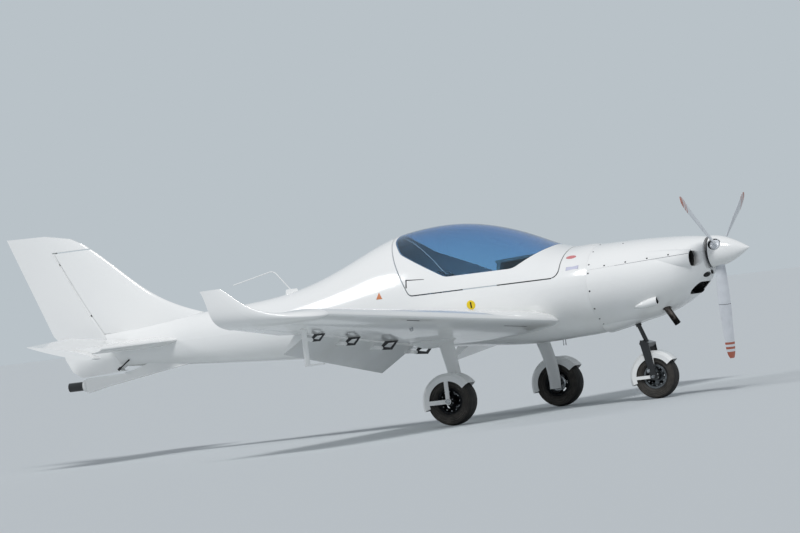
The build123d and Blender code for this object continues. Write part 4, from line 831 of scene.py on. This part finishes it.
class ULTRALIGHT_OT_intakes(bpy.types.Operator):
    """Lines the intakes of the cowling with black ducts, painted shade for the dark inside them, and sets the
    fins of the cooler in the chin intake
    """
    bl_idname = "ultralight.intakes"
    bl_label = "Intakes"

    def execute(self, context):
        cowl = surface_of("cowling_upper", "cowling_lower")
        # the ducts' near black is painted shade for the dark inside the intakes
        # for a duct: front where its lip is flat, y, z, half width, half height, depth
        for label, side in SIDES:
            self.duct(cowl, f"cheek_duct_{label}", 2.798, side * 0.232, 1.055, 0.0605, 0.0615, 0.10)
            self.painted_throat(cowl, f"cheek_throat_{label}", 2.798, side * 0.232, 1.055, 0.0612)
        self.duct(cowl, "upper_duct", None, 0.0, 0.932, 0.032, 0.017, 0.08)
        self.duct(cowl, "chin_duct", None, 0.0, 0.822, 0.150, 0.043, 0.13)
        self.duct(cowl, "side_scoop_duct", 2.499, -0.296, 0.765, 0.0285, 0.0285, 0.055)
        self.small_inlet(cowl)
        self.cooler_fins()
        return {"FINISHED"}

    def cooler_fins(self):
        """Upright fins side by side in the chin intake, repeated by a geometry tree."""
        tree, given = start_geometry_tree("cooler_fins", {"Fins": 46, "Pitch": 0.006, "Fin height": 0.078})
        step = add_node(tree, "ShaderNodeCombineXYZ", {"Y": given["Pitch"]}).outputs[0]
        line = add_node(tree, "GeometryNodeMeshLine", {"Count": given["Fins"], "Offset": step,
                                                       "Start Location": (2.655, -0.135, 0.822)}).outputs[0]
        size = add_node(tree, "ShaderNodeCombineXYZ", {"X": 0.014, "Y": 0.0012, "Z": given["Fin height"]})
        fin = add_node(tree, "GeometryNodeMeshCube", {"Size": size.outputs[0]}).outputs[0]
        row = add_node(tree, "GeometryNodeInstanceOnPoints", {"Points": line, "Instance": fin}).outputs[0]
        end_geometry_tree(tree, row, "dark_grey_plate")
        fins = grown_mesh(mesh_from([(0, 0, 0)], [], fix_normals=False), tree, {})
        piece("cooler_fins", fins, None, smooth=False)

    def duct(self, cowl, name, flat_front, y, z, half_y, half_z, depth):
        """A black duct behind an opening, painted shade for its dark inside: it starts at a flat front, or
        else where the skin is.
        """
        steps, vertices = 40, []
        # where a look back goes in past the lip it meets nothing before hindmost: the duct starts at usual
        hindmost, usual = 2.4, 2.75
        # size as a share of the opening, and how far back
        rings = ((1.0, 0.0), (1.0, 0.02), (0.94, depth), (0.0, depth))
        if flat_front is None:
            rings = ((1.04, 0.009), (1.0, 0.02), (0.9, depth), (0.0, depth))
        for grow, back in rings:
            for out_y, out_z in turns(steps):
                hit = from_ahead(cowl, y + 1.05 * half_y * out_y, z + 1.05 * half_z * out_z)
                front = flat_front or (hit[0].x if hit and hit[0].x > hindmost else usual)
                vertices.append((front - back, y + grow * half_y * out_y, z + grow * half_z * out_z))
        duct = mesh_from(vertices, between(len(rings), steps))
        self.walled(piece(name, duct, "opening_black"))

    def walled(self, made):
        solid = made.modifiers.new("wall", "SOLIDIFY")
        solid.thickness, solid.offset = 0.0015, 0

    def painted_throat(self, cowl, name, back, y, z, radius):
        """The painted inside of a cheek intake, from the skin of the nose back to the duct's flat mouth."""
        steps, vertices = 40, []
        ring = ring_of(y, z, radius, radius, steps)
        for edge_y, edge_z in ring:
            hit = from_ahead(cowl, y + 1.06 * (edge_y - y), z + 1.06 * (edge_z - z))
            vertices.append((max(hit[0].x - 0.0015, back + 0.001) if hit else back + 0.001, edge_y, edge_z))
        vertices += [(back, edge_y, edge_z) for edge_y, edge_z in ring]
        self.walled(piece(name, mesh_from(vertices, between(2, steps)), "white_gelcoat"))

    def small_inlet(self, cowl):
        """One shallow oval inlet on the skin below the spinner, on the side that the photograph shows."""
        steps, vertices = 36, []
        rings = ((1.0, -0.003), (1.0, 0.0009), (0.6, 0.0009), (0.25, 0.0009))
        # the oval is a black film a little proud of the skin: painted shade for the inlet's mouth
        for grow, lift in rings:
            for y, z in ring_of(-0.087, 0.917, grow * 0.046, grow * 0.020, steps):
                place, normal = from_ahead(cowl, y, z)
                vertices.append(place + lift * normal)
        last = (len(rings) - 1) * steps
        oval = mesh_from(vertices, between(len(rings), steps) + [tuple(range(last, last + steps))])
        piece("small_oval_inlet_painted_shade", oval, "opening_black")


class ULTRALIGHT_OT_canopy_fittings(bpy.types.Operator):
    """Lays painted shadow along the top and rear edges of the canopy's latch recess, and fits the canopy's
    grab rails
    """
    bl_idname = "ultralight.canopy_fittings"
    bl_label = "Canopy fittings"

    def execute(self, context):
        frame_side = surface_of("canopy_frame")
        # two dark strips along the recess's top and rear edges: painted shadow of its lips
        outlines = (((0.495, 1.158), (0.665, 1.150), (0.665, 1.154), (0.495, 1.166)),
                    ((0.495, 1.100), (0.506, 1.100), (0.506, 1.160), (0.495, 1.160)))
        recess_shadow_strips = [laid_patch(frame_side, self.fine(corners), side) for side in (-1, 1) for corners in outlines]
        piece("canopy_latch_recess_painted_shadow", join_meshes(recess_shadow_strips), "hub_dark", body="canopy")
        line = ((0.74, 0.455, 1.12), (0.76, 0.425, 1.135), (1.00, 0.430, 1.15), (1.02, 0.46, 1.13))
        rails = [round_bar([(x, side * y, z) for x, y, z in line], 0.007) for side in (-1, 1)]
        piece("canopy_grab_rails", join_meshes(rails), "axle_steel", body="canopy")
        return {"FINISHED"}

    def fine(self, corners):
        """The outline with three more points on each side."""
        sides = zip(corners, corners[1:] + corners[:1])
        return [point for start, end in sides for point in along(start, end, 5)[:-1]]


class ULTRALIGHT_OT_markings(bpy.types.Operator):
    """Lays the plain markers on the flanks, and black strips of painted shade for the slots in the right
    wing's leading edge
    """
    bl_idname = "ultralight.markings"
    bl_label = "Markings"

    def execute(self, context):
        body = surface_of("fuselage")
        for name, finish, outline in (
            ("marker_discs", "yellow_film", ring_of(1.059, 0.907, 0.037, 0.037, 28)),
            ("marker_ticks", "hub_dark", [(1.053, 0.884), (1.065, 0.884), (1.065, 0.930), (1.053, 0.930)]),
            ("marker_triangles", "orange_film", [(0.210, 1.04), (0.270, 1.04), (0.240, 1.095)]),
            ("marker_reds", "red_film", ring_of(1.850, 1.180, 0.040, 0.012, 20)),
            ("marker_plates", "lilac_film", [(1.835, 1.080), (1.930, 1.084), (1.930, 1.110), (1.835, 1.106)]),
        ):
            # the ticks lie on the discs
            lift = 0.0015 if name == "marker_ticks" else 0.0007
            meshes = [laid_patch(body, outline, side, lift) for side in (-1, 1)]
            piece(name, join_meshes(meshes), finish)
        wing = surface_of("wing_right")
        # flat black strips on the leading edge: painted shade for two slots
        ends = (((-0.791, 0.690), (-1.175, 0.718)), ((-2.691, 0.842), (-2.890, 0.857)))
        slots = [laid_strip([from_ahead(wing, y, z) for y, z in along(*pair, 14)], 0.009) for pair in ends]
        piece("leading_edge_slots_painted_shade", join_meshes(slots), "opening_black")
        return {"FINISHED"}


class ULTRALIGHT_OT_tail_fittings(bpy.types.Operator):
    """Adds the rudder's control rod and the collar of the tow tube"""
    bl_idname = "ultralight.tail_fittings"
    bl_label = "Tail fittings"

    def execute(self, context):
        rods = [round_bar([(-2.190, -0.074, 0.808), (-2.285, -0.080, 0.742)], 0.006),
                round_bar([(-2.272, -0.079, 0.751), (-2.296, -0.081, 0.735)], 0.011)]
        piece("rudder_rod", join_meshes(rods), "black_paint")
        collar = turned_form([(0.0, 0.0372), (0.0, 0.046), (0.030, 0.046), (0.034, 0.042), (0.034, 0.0372)],
                             (-2.656, 0, 0.638), (1, 0, 0), 40)
        piece("tow_collar", collar, "white_gelcoat")
        return {"FINISHED"}


class ULTRALIGHT_OT_stage(bpy.types.Operator):
    """Sets the floor, the lights and the camera of the photograph's view"""
    bl_idname = "ultralight.stage"
    bl_label = "Studio"

    def execute(self, context):
        settings = context.scene.ultralight_stage
        self.floor(settings)
        self.lights(context, settings)
        self.camera(context)
        context.scene.view_settings.view_transform = "Standard"
        return {"FINISHED"}

    def floor(self, settings):
        reach = 400.0
        corners = [(x * reach, y * reach, 0) for x, y in ((-1, -1), (1, -1), (1, 1), (-1, 1))]
        floor = linked("studio_floor", mesh_from(corners, [(0, 1, 2, 3)]))
        paint = Shade("floor_pale_paint", "#c9cfd2", 0.9)
        paint.shader.inputs["Base Color"].default_value = (*settings.floor_colour, 1)
        floor.data.materials.append(paint.material)

    def lights(self, context, settings):
        world = bpy.data.worlds.new("studio")
        world.use_nodes = True
        tree = world.node_tree
        tree.nodes.clear()
        ray = add_node(tree, "ShaderNodeLightPath").outputs
        seen = ray["Is Camera Ray"]
        for kind in ("Is Glossy Ray", "Is Transmission Ray"):
            seen = add_node(tree, "ShaderNodeMath", {0: seen, 1: ray[kind]}, operation="MAXIMUM").outputs[0]
        soft = add_node(tree, "ShaderNodeBackground", {"Color": linear("#f2f6ff"), "Strength": settings.fill})
        shown = add_node(tree, "ShaderNodeBackground", {"Color": linear("#b9c2c8"), "Strength": 1.0})
        both = add_node(tree, "ShaderNodeMixShader", {0: seen, 1: soft.outputs[0], 2: shown.outputs[0]})
        add_node(tree, "ShaderNodeOutputWorld", {"Surface": both.outputs[0]})
        context.scene.world = world
        for name, share, turn in (("key_sun", 1.0, (38, 12, 10)), ("side_sun", 0.35, (62, 0, -62))):
            lamp = bpy.data.lights.new(name, "SUN")
            lamp.energy, lamp.angle = share * settings.key, math.radians(18)
            linked(name, lamp).rotation_euler = [math.radians(t) for t in turn]

    def camera(self, context):
        """A long lens at wing height. The photograph's level lines rise to the right, so the camera leans."""
        azimuth, elevation, lean = math.radians(23.42), math.radians(-0.03), math.radians(7.13)
        distance, pixels_per_metre, width, height, sensor = 45.0, 125.23, 800, 533, 36.0
        # where the point (0, 0, 1) shows in the photograph, in pixels from its upper left corner
        mark_x, mark_y = 375.27, 305.05
        right = Vector((math.cos(azimuth), math.sin(azimuth), 0))
        back = Vector((math.sin(azimuth) * math.cos(elevation), -math.cos(azimuth) * math.cos(elevation),
                       math.sin(elevation)))
        up = back.cross(right)
        leaning_right = right * math.cos(lean) - up * math.sin(lean)
        leaning_up = up * math.cos(lean) + right * math.sin(lean)
        lens = bpy.data.cameras.new("photo_camera")
        lens.sensor_width = sensor
        lens.lens = pixels_per_metre * distance * sensor / width
        lens.clip_start, lens.clip_end = 1.0, 900.0
        lens.shift_x = (width / 2 - mark_x) / width
        lens.shift_y = (mark_y - height / 2) / width
        camera = linked("photo_camera", lens)
        turned = Matrix((leaning_right, leaning_up, back)).transposed().to_4x4()
        camera.matrix_world = Matrix.Translation(Vector((0, 0, 1)) + back * distance) @ turned
        context.scene.camera = camera


class ULTRALIGHT_PT_sidebar(bpy.types.Panel):
    """Lists the pieces and their sizes"""
    bl_idname = "ULTRALIGHT_PT_sidebar"
    bl_label = "Ultralight"
    bl_space_type = "VIEW_3D"
    bl_region_type = "UI"
    bl_category = "Ultralight"

    def draw(self, context):
        for name, kind in SETTINGS.items():
            for key in kind.__annotations__:
                self.layout.prop(getattr(context.scene, name), key)
        for kind in OPERATORS:
            self.layout.operator(kind.bl_idname)


SETTINGS = {
    "ultralight_finish": FinishSettings,
    "ultralight_screws": ScrewSettings,
    "ultralight_tyres": TyreSettings,
    "ultralight_cushions": CushionSettings,
    "ultralight_stage": StageSettings,
}
OPERATORS = (
    ULTRALIGHT_OT_finishes, ULTRALIGHT_OT_panel_joints, ULTRALIGHT_OT_screws, ULTRALIGHT_OT_tyres,
    ULTRALIGHT_OT_wheel_hubs, ULTRALIGHT_OT_blade_cuffs, ULTRALIGHT_OT_cushions, ULTRALIGHT_OT_belts,
    ULTRALIGHT_OT_instruments, ULTRALIGHT_OT_intakes, ULTRALIGHT_OT_canopy_fittings, ULTRALIGHT_OT_markings,
    ULTRALIGHT_OT_tail_fittings, ULTRALIGHT_OT_stage,
)


def register():
    for kind in (*SETTINGS.values(), *OPERATORS, ULTRALIGHT_PT_sidebar):
        bpy.utils.register_class(kind)
    for name, kind in SETTINGS.items():
        setattr(bpy.types.Scene, name, bpy.props.PointerProperty(type=kind))


def unregister():
    for name in SETTINGS:
        delattr(bpy.types.Scene, name)
    for kind in (ULTRALIGHT_PT_sidebar, *reversed(OPERATORS), *SETTINGS.values()):
        bpy.utils.unregister_class(kind)


def main():
    register()
    for kind in OPERATORS:
        group, action = kind.bl_idname.split(".")
        getattr(getattr(bpy.ops, group), action)()


if __name__ == "__main__":
    main()
